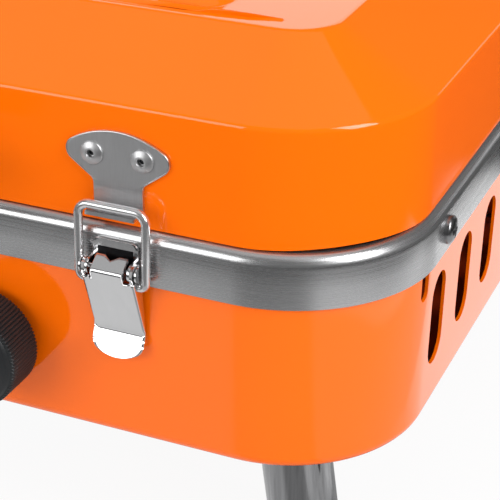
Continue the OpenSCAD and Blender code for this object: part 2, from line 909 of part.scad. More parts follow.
module hinge_lid_rivets() color(bright) placed()
  hinge_lid_rivet_places()
    rivet(leaf_t + sheet_t + 2 * seat);

// Outline of n fine round-topped ribs on radius r
function ribbed(r, n, h) =
  [for (i = [0 : 4 * n - 1])
    (r - (i % 4 == 0 ? h : i % 4 == 2 ? 0 : h * 0.3)) * [cos(i * 90 / n), sin(i * 90 / n)]
  ];

module knob(s) color(black) placed() at_knob(s) facing_front() translate([0, 0, knob_gap]) {
  r = knob_d / 2;
  rim_r = r - rib_h - 0.4;
  dish_r = r * 0.62;
  hollow = knob_skirt - 6;
  boss_r = stem_d / 2 + 3;
  difference() {
    union() {
      linear_extrude(knob_skirt)
        polygon(ribbed(r, rib_n, rib_h));
      translate([0, 0, knob_skirt])
        rotate_extrude()
          polygon([
            [0, -1], [rim_r, -1], [rim_r, 0], [rim_r - 0.8, 1.2], [dish_r + 1, knob_front],
            [dish_r, knob_front], [dish_r - 0.8, 1.4], [0, 1.4]
          ]);
    }
    difference() {
      translate([0, 0, -1])
        cylinder(r = r - knob_wall, h = hollow + 1);
      translate([0, 0, -2])
        cylinder(r = boss_r, h = hollow + 3);
    }
    translate([0, 0, -1])
      cylinder(d = stem_d + 2 * run_fit, h = knob_skirt - 3);
    translate([-0.8, dish_r + 0.6, knob_skirt + 0.6])
      cube([1.6, rim_r - dish_r - 1.6, 6]);
  }
}
module knob_left() knob(-1);
module knob_right() knob(1);

module valve_stem(s) color(bright) placed() at_knob(s) facing_front()
  translate([0, 0, -sheet_t - 10])
    cylinder(d = stem_d, h = sheet_t + 10 + knob_gap + knob_skirt - 4 - seat);
module valve_stem_left() valve_stem(-1);
module valve_stem_right() valve_stem(1);

module valve_body(s) color(brass) placed() translate([s * knob_x, valve_y, knob_z]) {
  difference() {
    union() {
      translate([-flange_l / 2, 0, -flange_h / 2])
        cube([flange_l, valve_plate, flange_h]);
      facing_rear() {
        cylinder(d = valve_d, h = valve_l);
        cylinder(d = 8, h = valve_l + nozzle_l - 3);
        cylinder(d = 5, h = valve_l + nozzle_l);
      }
      translate([0, pipe_y - valve_y, -valve_d / 2 - stub_d * 0.75])
        cylinder(d = stub_d, h = valve_d / 2);
    }
    facing_rear()
      translate([0, 0, -1])
        cylinder(d = stem_d + 2 * hole_fit, h = 11 + push + gap);
    translate([-s * knob_x, -valve_y, -knob_z])
      valve_screw_places()
        cylinder(d = rivet_d + 2 * hole_fit, h = 16, center = true);
  }
}
module valve_body_left() valve_body(-1);
module valve_body_right() valve_body(1);

module valve_screws() color(bright) placed()
  valve_screw_places()
    translate([0, 0, seat])
      screw(small_head, small_head * 0.26, rivet_d, sheet_t + valve_plate + tip_l);

module gas_manifold() color(brass) placed() {
  end = 12;
  difference() {
    union() {
      translate([0, pipe_y, pipe_z])
        rotate([0, 90, 0])
          cylinder(d = pipe_d, h = 2 * (knob_x + end), center = true);
      translate([0, pipe_y, pipe_z])
        facing_rear()
          cylinder(d = pipe_d - 2, h = rear_y - hex_seat - hex_l * 0.6 - pipe_y);
    }
    for (s = [-1, 1])
      translate([s * knob_x, pipe_y, pipe_z])
        cylinder(d = stub_d + 2 * hole_fit, h = pipe_d);
  }
}

// Bulkhead fitting in the rear wall: hexagon inside, threaded hose stub outside
module gas_inlet() color(brass) placed()
  translate([0, rear_y, pipe_z])
    facing_rear()
      difference() {
        union() {
          translate([0, 0, -hex_seat - hex_l])
            cylinder(d = bulk_d + 7, h = hex_l, $fn = 6);
          translate([0, 0, -hex_seat - hex_l / 2])
            cylinder(d = bulk_d, h = hex_seat + hex_l / 2 + bulk_l);
          cylinder(d = inlet_d, h = inlet_l);
        }
        translate([0, 0, inlet_l - 12])
          cylinder(d = inlet_d * 0.5, h = 13);
        translate([0, 0, -hex_seat - hex_l - 1])
          cylinder(d = pipe_d - 2 + 2 * hole_fit, h = hex_l / 2 + 1);
      }

module inlet_nut() color(brass) placed()
  translate([0, rear_y, pipe_z])
    facing_rear()
      translate([0, 0, 3 * seat])
        difference() {
          cylinder(d = bulk_d + 8, h = nut_t, $fn = 6);
          translate([0, 0, -1])
            cylinder(d = bulk_d + 2 * hole_fit, h = nut_t + 2);
        }

// Two arms joined by a half turn at the rear; d is the tube's diameter, cut its open or closed ends
module burner_tube(d, mouth, end) {
  translate([0, mouth, 0])
    facing_rear()
      cylinder(d = d, h = burner_y1 - mouth);
  translate([arm_pitch / 2, burner_y1, 0])
    rotate_extrude(angle = 180)
      translate([arm_pitch / 2, 0])
        circle(d = d);
  translate([arm_pitch, end, 0])
    facing_rear()
      cylinder(d = d, h = burner_y1 - end);
}

module burner(s) color(steel) placed() mirror([s < 0 ? 1 : 0, 0, 0]) translate([knob_x, 0, knob_z])
  difference() {
    burner_tube(burner_d, burner_y0, arm_y0);
    burner_tube(burner_d - 2 * burner_wall, burner_y0 - 1, arm_y0 + 2);
    for (x = [0, arm_pitch], i = [1 : port_n])
      translate([x, arm_y0 + i * (burner_y1 - arm_y0) / (port_n + 1), 0])
        cylinder(d = port_d, h = burner_d);
  }
module burner_left() burner(-1);
module burner_right() burner(1);

// Two uprights on the floor with seats for the burner's arms
module burner_stand(s) color(steel) placed() mirror([s < 0 ? 1 : 0, 0, 0]) {
  low = floor_z + sheet_t + seat;
  w = arm_pitch + burner_d + 14;
  for (y = [burner_y0 + stand_front, burner_y1 - stand_rear])
    translate([knob_x + arm_pitch / 2, y, 0])
      difference() {
        union() {
          translate([-w / 2, -stand_t / 2, low])
            cube([w, stand_t, knob_z - low - 2]);
          translate([-w / 2, -stand_t / 2, low])
            cube([w, rail_leg, stand_t]);
        }
        for (k = [-1, 1])
          translate([k * arm_pitch / 2, 0, knob_z])
            rotate([90, 0, 0])
              cylinder(d = burner_d + 2 * seat, h = 8, center = true);
      }
}
module burner_stand_left() burner_stand(-1);
module burner_stand_right() burner_stand(1);

// Folded roof over a burner that spreads the flame's heat
module flame_tamer(s) color(steel) placed() mirror([s < 0 ? 1 : 0, 0, 0]) translate([tamer_x, 0, 0]) {
  low = rail_z + seat;
  l = body_d - 2 * (base_in(rail_z) + sheet_t + rail_t + 3 * seat + gap);
  foot = 8;
  line = [
    [-tamer_w / 2, low], [-tamer_w / 2 + foot, low], [0, low + tamer_rise],
    [tamer_w / 2 - foot, low], [tamer_w / 2, low]
  ];
  difference() {
    along_y(l)
      polygon(sheet(line, tamer_t));
    for (k = [-1, 1], i = [-2 : 2])
      translate([k * tamer_w / 4, i * l / 6, low - 1])
        linear_extrude(tamer_rise + 4)
          slot_outline(tamer_slot_w, tamer_slot_l);
  }
}
module flame_tamer_left() flame_tamer(-1);
module flame_tamer_right() flame_tamer(1);

module tamer_rail(s) color(steel) placed() {
  back = body_d / 2 - base_in(rail_z - rail_t) - sheet_t - seat;
  l = body_w - 2 * corner_r - 4;
  translate([-l / 2, s > 0 ? back - rail_t : -back, rail_z - rail_t])
    cube([l, rail_t, rail_leg - 1]);
  translate([-l / 2, s > 0 ? back - rail_leg : -back, rail_z - rail_t])
    cube([l, rail_leg, rail_t]);
}
module tamer_rail_front() tamer_rail(-1);
module tamer_rail_rear() tamer_rail(1);

module cooking_grate() color(dark) placed() {
  w = body_w - 2 * grate_in;
  d = body_d - 2 * grate_in;
  r = corner_r - grate_in;
  bar_z = grate_z + frame_wire / 2 + bar_wire / 2 - 0.6;
  span = w - 2 * frame_wire - 14;
  translate([0, 0, grate_z])
    ring(w, d, r)
      translate([frame_wire / 2, 0])
        circle(d = frame_wire);
  for (k = [-1, 1])
    translate([0, k * d / 6, grate_z])
      rotate([0, 90, 0])
        cylinder(d = frame_wire, h = w - frame_wire, center = true);
  for (i = [0 : bar_n - 1]) {
    x = span * (i / (bar_n - 1) - 0.5);
    over = max(abs(x) - (w / 2 - r), 0);
    half = d / 2 - r + sqrt(pow(r - frame_wire / 2, 2) - over * over);
    translate([x, 0, bar_z])
      rotate([90, 0, 0])
        cylinder(d = bar_wire, h = 2 * half, center = true);
  }
}

module grate_brackets() color(steel) placed()
  for (x = [-1, 1], y = [-1, 1]) {
    back = body_w / 2 - base_in(shelf_z - shelf_t) - sheet_t - seat;
    reach = back - body_w / 2 + grate_in + frame_wire + shelf_over;
    translate([0, y * (vent_y - vent_pitch / 2) - shelf_w / 2, 0]) {
      translate([x > 0 ? back - shelf_t : -back, 0, shelf_z - shelf_t])
        cube([shelf_t, shelf_w, shelf_h]);
      translate([x > 0 ? back - reach : -back, 0, shelf_z - shelf_t])
        cube([reach, shelf_w, shelf_t]);
    }
  }

// Open sheet tray that hangs by its side flanges
module drip_tray() color(bright) placed() translate([0, 0, floor_z - tray_drop]) {
  half = tray_w / 2;
  difference() {
    union() {
      translate([-half, -tray_l / 2, -tray_h])
        cube([tray_w, tray_l, tray_h]);
      translate([-half - tray_flange, -tray_l / 2, -tray_t])
        cube([tray_w + 2 * tray_flange, tray_l, tray_t]);
      translate([-half * 0.5, -tray_l / 2 - pull_l, -tray_t])
        cube([half, pull_l + 1, tray_t]);
      translate([-half * 0.5, -tray_l / 2 - pull_l, -tray_t - 6])
        cube([half, tray_t, 6 + tray_t]);
    }
    translate([-half + tray_t, -tray_l / 2 + tray_t, -tray_h + tray_t])
      cube([tray_w - 2 * tray_t, tray_l - 2 * tray_t, tray_h]);
  }
}

// Bent channel under the floor that a tray flange runs in
module tray_rail(s) color(steel) placed() mirror([s < 0 ? 1 : 0, 0, 0]) {
  web = tray_w / 2 + tray_flange + gap;
  low = floor_z - tray_drop - tray_t - gap;
  top = floor_z - seat;
  along_y(tray_l + 2 * rail_over) {
    translate([web, low - tray_t])
      square([tray_t, top - low + tray_t]);
    translate([web - lip_in, low - tray_t])
      square([lip_in + tray_t, tray_t]);
    translate([web, top - tray_t])
      square([rail_foot, tray_t]);
  }
}
module tray_rail_left() tray_rail(-1);
module tray_rail_right() tray_rail(1);

// Cross tube and two legs as one solid of radius r, joined by mitres; legs end at depth l
module u_tube(r, l) {
  big = leg_d;
  intersection() {
    rotate([90, 0, 0])
      cylinder(r = r, h = 2 * (leg_y + big), center = true);
    along_x(2 * big)
      polygon([[-leg_y - big, big], [-leg_y + big, -big], [leg_y - big, -big], [leg_y + big, big]]);
  }
  for (k = [0, 1])
    mirror([0, k, 0])
      intersection() {
        translate([0, -leg_y, -l])
          cylinder(r = r, h = l + big);
        along_x(2 * big)
          polygon([
            [-leg_y - big, big], [-leg_y + big, -big],
            [-leg_y + big, -l - 1], [-leg_y - big, -l - 1]
          ]);
      }
}

module at_leg(s)
  translate([s * leg_x, 0, leg_z])
    rotate([0, -s * leg_splay, 0])
      children();

module leg_frame(s) color(steel) placed() at_leg(s)
  difference() {
    u_tube(leg_d / 2, leg_l - foot_h);
    u_tube(leg_d / 2 - leg_wall, leg_l - foot_h + 1);
  }
module leg_frame_left() leg_frame(-1);
module leg_frame_right() leg_frame(1);

module leg_feet(s) color(black) placed()
  difference() {
    at_leg(s)
      for (k = [-1, 1])
        translate([0, k * leg_y, -leg_l]) {
          translate([0, 0, -foot_h])
            cylinder(d = foot_d, h = 2 * foot_h - seat);
          cylinder(d = leg_d - 2 * leg_wall - 2 * hole_fit, h = foot_h + plug_l);
        }
    translate([-body_w, -body_d, -band_z - leg_d])
      cube([2 * body_w, 2 * body_d, leg_d]);
  }
module leg_feet_left() leg_feet(-1);
module leg_feet_right() leg_feet(1);

// Saddle straps under the floor in which the cross tubes turn
module leg_clamps() color(steel) placed() {
  r = leg_d / 2 + run_fit;
  top = leg_d / 2 + leg_top_gap - seat;
  difference() {
    leg_places()
      along_y(clamp_w)
        difference() {
          union() {
            circle(r + clamp_t);
            translate([-r - clamp_t, 0])
              square([2 * (r + clamp_t), top]);
            translate([-r - clamp_t - clamp_foot, top - clamp_t])
              square([2 * (r + clamp_t + clamp_foot), clamp_t]);
          }
          circle(r);
          translate([-r, 0])
            square([2 * r, 2 * r]);
          translate([-2 * leg_d, top])
            square([4 * leg_d, leg_d]);
        }
    clamp_screw_places()
      cylinder(d = rivet_d + 2 * hole_fit, h = leg_d);
  }
}

module clamp_screws() color(bright) placed()
  clamp_screw_places()
    translate([0, 0, leg_d / 2 + leg_top_gap - clamp_t - 2 * seat])
      rotate([180, 0, 0])
        screw(small_head + 1, small_head * 0.3, rivet_d, clamp_t + sheet_t + tip_l);

// Angle tabs outside each leg that stop it at its splay
module leg_stops() color(steel) placed()
  for (x = [-1, 1], y = [-1, 1]) {
    reach = leg_d * 0.6;
    lean = (reach - leg_top_gap - leg_d / 2) * tan(leg_splay) + leg_d / 2 / cos(leg_splay) + gap;
    mirror([x < 0 ? 1 : 0, 0, 0])
      translate([leg_x + lean, y * leg_y - stop_w / 2, floor_z - seat]) {
        translate([0, 0, -reach + seat])
          cube([clamp_t, stop_w, reach - seat]);
        translate([0, 0, -clamp_t])
          cube([stop_foot, stop_w, clamp_t]);
      }
  }

base_shell();
trim_band();
band_screws();
lid_shell();
handle_grip();
handle_posts();
handle_screws();
strike_plate_left();
strike_plate_right();
strike_rivets();
latch_bracket_left();
latch_bracket_right();
latch_lever_left();
latch_lever_right();
latch_pin_left();
latch_pin_right();
latch_bail_left();
latch_bail_right();
hinge_base_leaf_left();
hinge_base_leaf_right();
hinge_lid_leaf_left();
hinge_lid_leaf_right();
hinge_pin_left();
hinge_pin_right();
hinge_base_rivets();
hinge_lid_rivets();
knob_left();
knob_right();
valve_stem_left();
valve_stem_right();
valve_body_left();
valve_body_right();
valve_screws();
gas_manifold();
gas_inlet();
inlet_nut();
burner_left();
burner_right();
burner_stand_left();
burner_stand_right();
flame_tamer_left();
flame_tamer_right();
tamer_rail_front();
tamer_rail_rear();
cooking_grate();
grate_brackets();
drip_tray();
tray_rail_left();
tray_rail_right();
leg_frame_left();
leg_frame_right();
leg_feet_left();
leg_feet_right();
leg_clamps();
clamp_screws();
leg_stops();
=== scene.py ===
import bpy
import numpy as np
from mathutils import Matrix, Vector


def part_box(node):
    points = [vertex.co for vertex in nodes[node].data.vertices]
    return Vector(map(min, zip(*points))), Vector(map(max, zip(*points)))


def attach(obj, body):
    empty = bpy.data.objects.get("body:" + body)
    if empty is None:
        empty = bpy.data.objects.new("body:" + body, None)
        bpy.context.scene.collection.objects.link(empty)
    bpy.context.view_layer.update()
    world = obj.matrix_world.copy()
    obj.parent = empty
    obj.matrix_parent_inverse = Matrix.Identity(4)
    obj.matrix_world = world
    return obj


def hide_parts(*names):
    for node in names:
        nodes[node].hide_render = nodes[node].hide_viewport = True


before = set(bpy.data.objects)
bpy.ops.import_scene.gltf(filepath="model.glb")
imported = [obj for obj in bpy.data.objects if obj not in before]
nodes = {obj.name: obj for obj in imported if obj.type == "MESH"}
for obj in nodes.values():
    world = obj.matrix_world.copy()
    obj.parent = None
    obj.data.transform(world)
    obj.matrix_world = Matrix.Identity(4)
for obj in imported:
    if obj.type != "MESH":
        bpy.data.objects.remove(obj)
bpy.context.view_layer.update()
bandLow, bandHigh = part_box("trim_band")
print("frame loaded:", len(nodes), "nodes")

# Shapes are worked out in millimetres: plan centre of the body at 0, band's lower edge at z 0
origin = np.array([0.0, (bandLow[1] + bandHigh[1]) / 2, bandLow[2]])
body = dict(width=430.0, depth=288.0, cornerR=52.0, sheet=1.2)


# toRow: millimetres to metres, plus the place of the plan centre in the frame of the CAD part
def toRow(p):
    return np.asarray(p, float) / 1000 + origin


# ringPoint: a point on a rounded rectangle. c counts its eight runs from the front edge to the
# right, straights even and corners odd; the corner centres are joined by straight lines and the
# point stands cornerR - inset outside them. plan gives width, depth and cornerR.
ringSigns = np.array([[-1, 1, 1, 1, 1, -1, -1, -1], [-1, -1, -1, 1, 1, 1, 1, -1]])


def ringPoint(c, inset, plan):
    r = plan["cornerR"]
    c = np.mod(c, 8)
    k = np.floor(c).astype(int)
    f = c - k
    half = (plan["width"] / 2 - r, plan["depth"] / 2 - r)
    mid = [(s[k] + (s[(k + 1) % 8] - s[k]) * f) * h for s, h in zip(ringSigns, half)]
    turn = np.radians(np.where(k % 2 == 0, 45 * k - 90, 45 * (k - 1) - 90 + 90 * f))
    return mid[0] + (r - inset) * np.cos(turn), mid[1] + (r - inset) * np.sin(turn)


# ringColumns: places round a rounded rectangle, so many to each corner and to each straight run
def ringColumns(corner, straight):
    counts = (straight, corner) * 4
    return np.concatenate([k + np.linspace(0, 1, n, endpoint=False) for k, n in enumerate(counts)])


# sweepRing: a profile of (inset, height) carried round a rounded rectangle
def sweepRing(columns, profile, plan):
    c, inset = np.meshgrid(columns, profile[:, 0])
    x, y = ringPoint(c, inset, plan)
    return np.stack([x, y, np.repeat(profile[:, 1:], len(columns), 1)], -1)


# turned: a profile of (radius, height) turned about z; ribs is taken off the radius by angle and row
def turned(profile, n, ribs=None):
    a = np.linspace(0, 2 * np.pi, n, endpoint=False)
    r = np.repeat(profile[:, :1], n, 1)
    if ribs is not None:
        r = r - ribs(a[None, :], np.arange(len(profile))[:, None])
    return np.stack([r * np.cos(a), r * np.sin(a), np.repeat(profile[:, 1:], n, 1)], -1)


# tube: a circle carried along a path that stays in one plane, square to across; its rings stand in
# the mitre planes, so they are stretched at a bend
def tube(path, radius, across, n=28):
    path, across = np.asarray(path, float), np.asarray(across, float)
    step = np.diff(path, axis=0)
    step /= np.linalg.norm(step, axis=1)[:, None]
    before, after = np.vstack([step[:1], step]), np.vstack([step, step[-1:]])
    side = np.cross(across, (before + after) / 2)
    side = side / np.sum(np.cross(across, before) * side, 1)[:, None]
    a = np.linspace(0, 2 * np.pi, n, endpoint=False)[None, :, None]
    return path[:, None, :] + radius * (np.cos(a) * across + np.sin(a) * side[:, None, :])


# closedTube: a tube whose first and last ring are drawn in to the ends of the path
def closedTube(path, radius, across, n=24):
    ends = np.repeat(path[[0, -1], None, :], n, 1)
    return np.concatenate([ends[:1], tube(path, radius, across, n), ends[1:]])


# ribbon: a strip along a path of (y, z), as wide as halfWidth says at each point of it
def ribbon(path, halfWidth, n):
    x = np.asarray(halfWidth)[:, None] * np.linspace(-1, 1, n)
    return np.stack([x, np.repeat(path[:, :1], n, 1), np.repeat(path[:, 1:], n, 1)], -1)


# rounded: a polyline with arcs of the given radius in its inner corners. Each arc turns about a point
# on the corner's bisector, from the one leg to the other.
def rounded(points, radius, n):
    points = np.asarray(points, float)
    out = [points[:1]]
    for a, b, c, r in zip(points[:-2], points[1:-1], points[2:], np.broadcast_to(radius, len(points) - 2)):
        u, v = (a - b) / np.linalg.norm(a - b), (c - b) / np.linalg.norm(c - b)
        half = np.arccos(np.clip(u @ v, -1, 1)) / 2
        mid = b + (u + v) / np.linalg.norm(u + v) * r / np.sin(half)
        s, e = b + u * r / np.tan(half) - mid, b + v * r / np.tan(half) - mid
        t = np.linspace(0, 1, n + 1)[:, None]
        w = np.arccos(np.clip(s @ e / r**2, -1, 1))
        out.append(mid + (np.sin((1 - t) * w) * s + np.sin(t * w) * e) / np.sin(w))
    return np.vstack(out + [points[-1:]])


# arcPoints: n steps along a circle's arc, from one angle to another in degrees
def arcPoints(mid, r, a0, a1, n):
    a = np.radians(np.linspace(a0, a1, n + 1))
    return np.stack([mid[0] + r * np.cos(a), mid[1] + r * np.sin(a)], -1)


# wrap: the line drawn tight round a set of points. In each direction the point that reaches furthest
# lies on it; each is taken once, in turn.
def wrap(points, n=3600):
    a = np.linspace(0, 2 * np.pi, n, endpoint=False)
    furthest = np.argmax(points @ np.stack([np.cos(a), np.sin(a)]), 0)
    return points[furthest[furthest != np.roll(furthest, 1)]]


# discGrid: a flat face at x, as rings from its outline in (y, z) in to the middle
def discGrid(outline, x, n=5):
    mid = outline.mean(0)
    flat = mid + np.linspace(1, 0, n)[:, None, None] * (outline - mid)
    return np.concatenate([np.full(flat.shape[:2] + (1,), x), flat], -1)


# facingFront and facingSide: a shape made along z is laid along -y, or along x to the given side
def facingFront(grid, at):
    return np.stack([grid[..., 0], -grid[..., 2], grid[..., 1]], -1) + np.asarray(at)


def facingSide(grid, at, side):
    return np.stack([side * grid[..., 2], side * grid[..., 0], grid[..., 1]], -1) + np.asarray(at)


# smoothStep: from 0 at low to 1 at high along a cubic that is level at both ends
def smoothStep(value, low, high):
    t = np.clip((value - low) / (high - low), 0, 1)
    return t * t * (3 - 2 * t)


# quadsOf: the faces between the rows and columns of a grid of points
def quadsOf(grid, loop, flip):
    rows, cols = grid.shape[:2]
    i, j = np.meshgrid(np.arange(rows - 1), np.arange(cols if loop else cols - 1), indexing="ij")
    a, b = i * cols + j, i * cols + (j + 1) % cols
    q = np.stack([a, b, b + cols, a + cols], -1).reshape(-1, 4)
    return q[:, ::-1] if flip else q


# addPiece: a mesh from grids of points. Each grid says whether it closes on itself, whether its faces
# are turned, and, if it isn't the first, which of the piece's materials it has.
def addPiece(name, grids, bodyName, node, material, smooth=35):
    start, points, faces, finish = 0, [], [], []
    for grid, loop, flip, *index in grids:
        points.append(toRow(grid.reshape(-1, 3)))
        faces.append(quadsOf(grid, loop, flip) + start)
        finish.append(np.full(len(faces[-1]), sum(index)))
        start += len(points[-1])
    points, faces, finish = np.vstack(points), np.vstack(faces), np.concatenate(finish)
    # points within a micrometre become one, and faces that lose a corner become triangles
    micrometres = np.round(points * 1e6).astype(np.int64)
    _, first, same = np.unique(micrometres, axis=0, return_index=True, return_inverse=True)
    faces = same.reshape(-1)[faces]
    double = faces == np.roll(faces, -1, 1)
    whole, part = double.sum(1) == 0, double.sum(1) == 1
    triangles = faces[part][~double[part]].reshape(-1, 3)
    mesh = bpy.data.meshes.new(name)
    mesh.from_pydata(points[first].tolist(), [], faces[whole].tolist() + triangles.tolist())
    mesh.polygons.foreach_set("use_smooth", np.ones(len(mesh.polygons), bool))
    finish = np.concatenate([finish[whole], finish[part]]).astype(np.int32)
    mesh.polygons.foreach_set("material_index", finish)
    mesh.set_sharp_from_angle(angle=np.radians(smooth))
    for one in material if isinstance(material, tuple) else (material,):
        mesh.materials.append(one)
    mesh.validate()
    piece = bpy.data.objects.new(name, mesh)
    bpy.context.scene.collection.objects.link(piece)
    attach(piece, bodyName)
    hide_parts(node)
    return piece


# thicken: gives a sheet its wall, inwards for offset -1 and to both sides for 0, and breaks its edges
# with a small bevel; shading follows the larger faces
def thicken(piece, thickness, offset, bevel, segments=2, angle=50):
    wall = piece.modifiers.new("wall", "SOLIDIFY")
    wall.thickness, wall.offset = thickness / 1000, offset
    edge = piece.modifiers.new("edges", "BEVEL")
    edge.width, edge.segments = bevel / 1000, segments
    edge.limit_method, edge.angle_limit = "ANGLE", np.radians(angle)
    edge.use_clamp_overlap = True
    even = piece.modifiers.new("normals", "WEIGHTED_NORMAL")
    even.keep_sharp = True
    return wall


# hexToLinear: an sRGB colour by its standard curve, straight near black and a power of 2.4 above
def hexToLinear(code):
    c = np.array([int(code[i:i + 2], 16) for i in (1, 3, 5)]) / 255
    c = np.where(c <= 0.04045, c / 12.92, ((c + 0.055) / 1.055) ** 2.4)
    return (*c.tolist(), 1.0)


# addNode: one node with its settings; each input is a value, or a socket that is linked to it
def addNode(tree, kind, inputs=None, **settings):
    node = tree.nodes.new(kind)
    for key, value in settings.items():
        setattr(node, key, value)
    for key, value in (inputs or {}).items():
        if isinstance(value, bpy.types.NodeSocket):
            tree.links.new(value, node.inputs[key])
        else:
            node.inputs[key].default_value = value
    return node


# startFinish and endFinish: an empty material with its Object coordinates, and its way out
def startFinish(name):
    material = bpy.data.materials.new(name)
    material.use_nodes = True
    tree = material.node_tree
    tree.nodes.clear()
    return material, tree, addNode(tree, "ShaderNodeTexCoord").outputs["Object"]


def endFinish(material, tree, shader):
    addNode(tree, "ShaderNodeOutputMaterial", {"Surface": shader.outputs[0]})
    return material


def perMm(size):
    return 1000.0 / size  # texture scale for a feature of that size in millimetres


# Stoved enamel on pressed steel: one hard gloss layer. Wide noise mixes two tones that are almost the
# same, and fine noise lifts the surface by the faintest orange peel.
# inside and insideDeep are darker tones of the same enamel: painted shade for the inside of the base
enamel = dict(colour="#FA6C05", deep="#F66802", inside="#A83616", insideDeep="#942C10", cloud=90.0,
              peel=3.0, peelDepth=0.00003, peelStrength=0.12, roughness=0.07, ior=1.5)


def makeEnamel(name, colour, deep):
    material, tree, place = startFinish(name)
    cloud = addNode(tree, "ShaderNodeTexNoise",
                    {"Vector": place, "Scale": perMm(enamel["cloud"]), "Detail": 2.0})
    tint = addNode(tree, "ShaderNodeMix", {"Factor": cloud.outputs["Fac"], "A": hexToLinear(colour),
                                           "B": hexToLinear(deep)}, data_type="RGBA")
    peel = addNode(tree, "ShaderNodeTexNoise",
                   {"Vector": place, "Scale": perMm(enamel["peel"]), "Detail": 1.0})
    bump = addNode(tree, "ShaderNodeBump", {
        "Height": peel.outputs["Fac"], "Strength": enamel["peelStrength"], "Distance": enamel["peelDepth"]})
    shader = addNode(tree, "ShaderNodeBsdfPrincipled", {
        "Base Color": tint.outputs["Result"], "Roughness": enamel["roughness"], "IOR": enamel["ior"],
        "Normal": bump.outputs["Normal"]})
    return endFinish(material, tree, shader)


# Metals and moulded skins: noise drawn out by grain, in millimetres along x, y and z, mixes two tones,
# moves the roughness by spread either way, and stands out by depth. Metallic under 1 stands for the
# haze of fine scratches that scatter light.
metal = dict(detail=4.0, fibre=0.65, low=0.3, high=0.7, strength=0.3, shader={"Metallic": 1.0})
moulded = dict(detail=3.0, fibre=0.5, low=0.0, high=1.0, strength=0.25, shader={"IOR": 1.5})


def makeFinish(name, dark, light, roughness, spread, grain, depth=0.00001, more={}, kind=metal):
    material, tree, place = startFinish(name)
    lay = addNode(tree, "ShaderNodeMapping", {"Vector": place, "Scale": tuple(perMm(g) for g in grain)})
    line = addNode(tree, "ShaderNodeTexNoise", {"Vector": lay.outputs["Vector"], "Scale": 1.0,
                                                "Detail": kind["detail"], "Roughness": kind["fibre"]})
    tint = addNode(tree, "ShaderNodeMix", {"Factor": line.outputs["Fac"], "A": hexToLinear(dark),
                                           "B": hexToLinear(light)}, data_type="RGBA")
    gloss = addNode(tree, "ShaderNodeMapRange", {
        "Value": line.outputs["Fac"], "From Min": kind["low"], "From Max": kind["high"],
        "To Min": roughness - spread, "To Max": roughness + spread})
    bump = addNode(tree, "ShaderNodeBump", {"Height": line.outputs["Fac"], "Strength": kind["strength"],
                                            "Distance": depth})
    shader = addNode(tree, "ShaderNodeBsdfPrincipled", {
        "Base Color": tint.outputs["Result"], "Roughness": gloss.outputs["Result"],
        "Normal": bump.outputs["Normal"], **kind["shader"], **more})
    return endFinish(material, tree, shader)


# bright orange under a clear mirror
orangeEnamel = makeEnamel("stoved enamel", enamel["colour"], enamel["deep"])
# brown-red and dim: painted shade for the inside of the base
shadedInsideEnamel = makeEnamel("stoved enamel, darkened as painted shade inside", enamel["inside"], enamel["insideDeep"])
# streaks along the band blur what it mirrors; real lines are finer, and drawn 0.35 mm apart to show
bandSteel = makeFinish("stainless steel, brushed along the band", "#BABABB", "#DCDCDD", 0.27, 0.05,
                       (60, 60, 0.35), 0.000002, {"Metallic": 0.94})
# the roll keeps long, clean highlights
rollSteel = makeFinish("stainless steel, smooth from rolling", "#C2C2C3", "#DCDCDD", 0.28, 0.04,
                       (60, 60, 0.5), 0.000001, {"Metallic": 0.94})
# satin grey with hardly a reflection, faintly lined up and down
plateSteel = makeFinish("stainless steel, rolled sheet", "#CCCCCD", "#DCDCDD", 0.46, 0.03, (0.6, 6, 6))
# clear reflections, black against white
polishedSteel = makeFinish("polished steel", "#DADADB", "#E8E8E9", 0.2, 0.04, (4, 4, 9))
# bright and slightly cloudy
platedSteel = makeFinish("zinc-plated steel", "#B8B8BA", "#D2D2D4", 0.2, 0.05, (2.5, 2.5, 2.5))
# dark and light bands along the tube: painted reflections
reflectionBandedLegSteel = makeFinish("drawn steel tube, painted reflection bands lengthwise", "#161618", "#D8D8DA", 0.16, 0.05,
                      (4.5, 4.5, 240))
reflectionBandedCrossSteel = makeFinish("drawn steel tube, cross tube, painted reflection bands", "#161618", "#D8D8DA", 0.16, 0.05, (4.5, 240, 4.5))
# a thin bright rim
cutEdge = makeFinish("polished cut edge of the sheet", "#DADADB", "#EAEAEB", 0.3, 0.03, (3, 3, 3))
# nearly black: painted shade in hollows
shadeDarkSteel = makeFinish("steel darkened as painted shade", "#2E2E30", "#3C3C3E", 0.45, 0.05, (1, 1, 1))
# pale wire with a soft line of light along it
wireSteel = makeFinish("drawn steel wire, zinc-plated", "#D4D4D5", "#E4E4E5", 0.2, 0.05, (3, 3, 8),
                       more={"Metallic": 0.85})
# darker than zinc, soft highlights
screwSteel = makeFinish("nickel-plated steel", "#8E8E90", "#A6A6A8", 0.3, 0.06, (2, 2, 2))
# white metal, matt from forming
rivetAlloy = makeFinish("aluminium alloy of the rivets", "#D6D6D7", "#E8E8E9", 0.46, 0.05, (1.2, 1.2, 1.2))
# grey with broad flecks of zinc
sheetSteel = makeFinish("galvanised sheet", "#8E8F90", "#A8A9AA", 0.36, 0.06, (14, 14, 14))
# straw-coloured clouds from the heat
burnerSteel = makeFinish("heat-tinted stainless steel", "#857C72", "#A09A92", 0.38, 0.06, (20, 20, 20))
# light grey with lines across from the press
trayAluminium = makeFinish("pressed aluminium", "#B4B5B7", "#CBCCCE", 0.34, 0.05, (1, 60, 60))
# yellow with fine turning marks, drawn 0.5 mm apart to show
gasBrass = makeFinish("machined brass", "#B08A46", "#C9A55C", 0.3, 0.05, (0.5, 30, 30))
# glassy black
blackEnamel = makeFinish("black enamel on wire", "#111112", "#1B1B1C", 0.31, 0.07, (0.8, 0.8, 0.8), 0.00002,
                         kind=moulded)
# deep black with a low, even sheen
blackPlastic = makeFinish("black phenolic", "#1C1D1E", "#282A2C", 0.37, 0.07, (0.5, 0.5, 0.5), 0.00002,
                          {"Specular IOR Level": 0.3}, moulded)
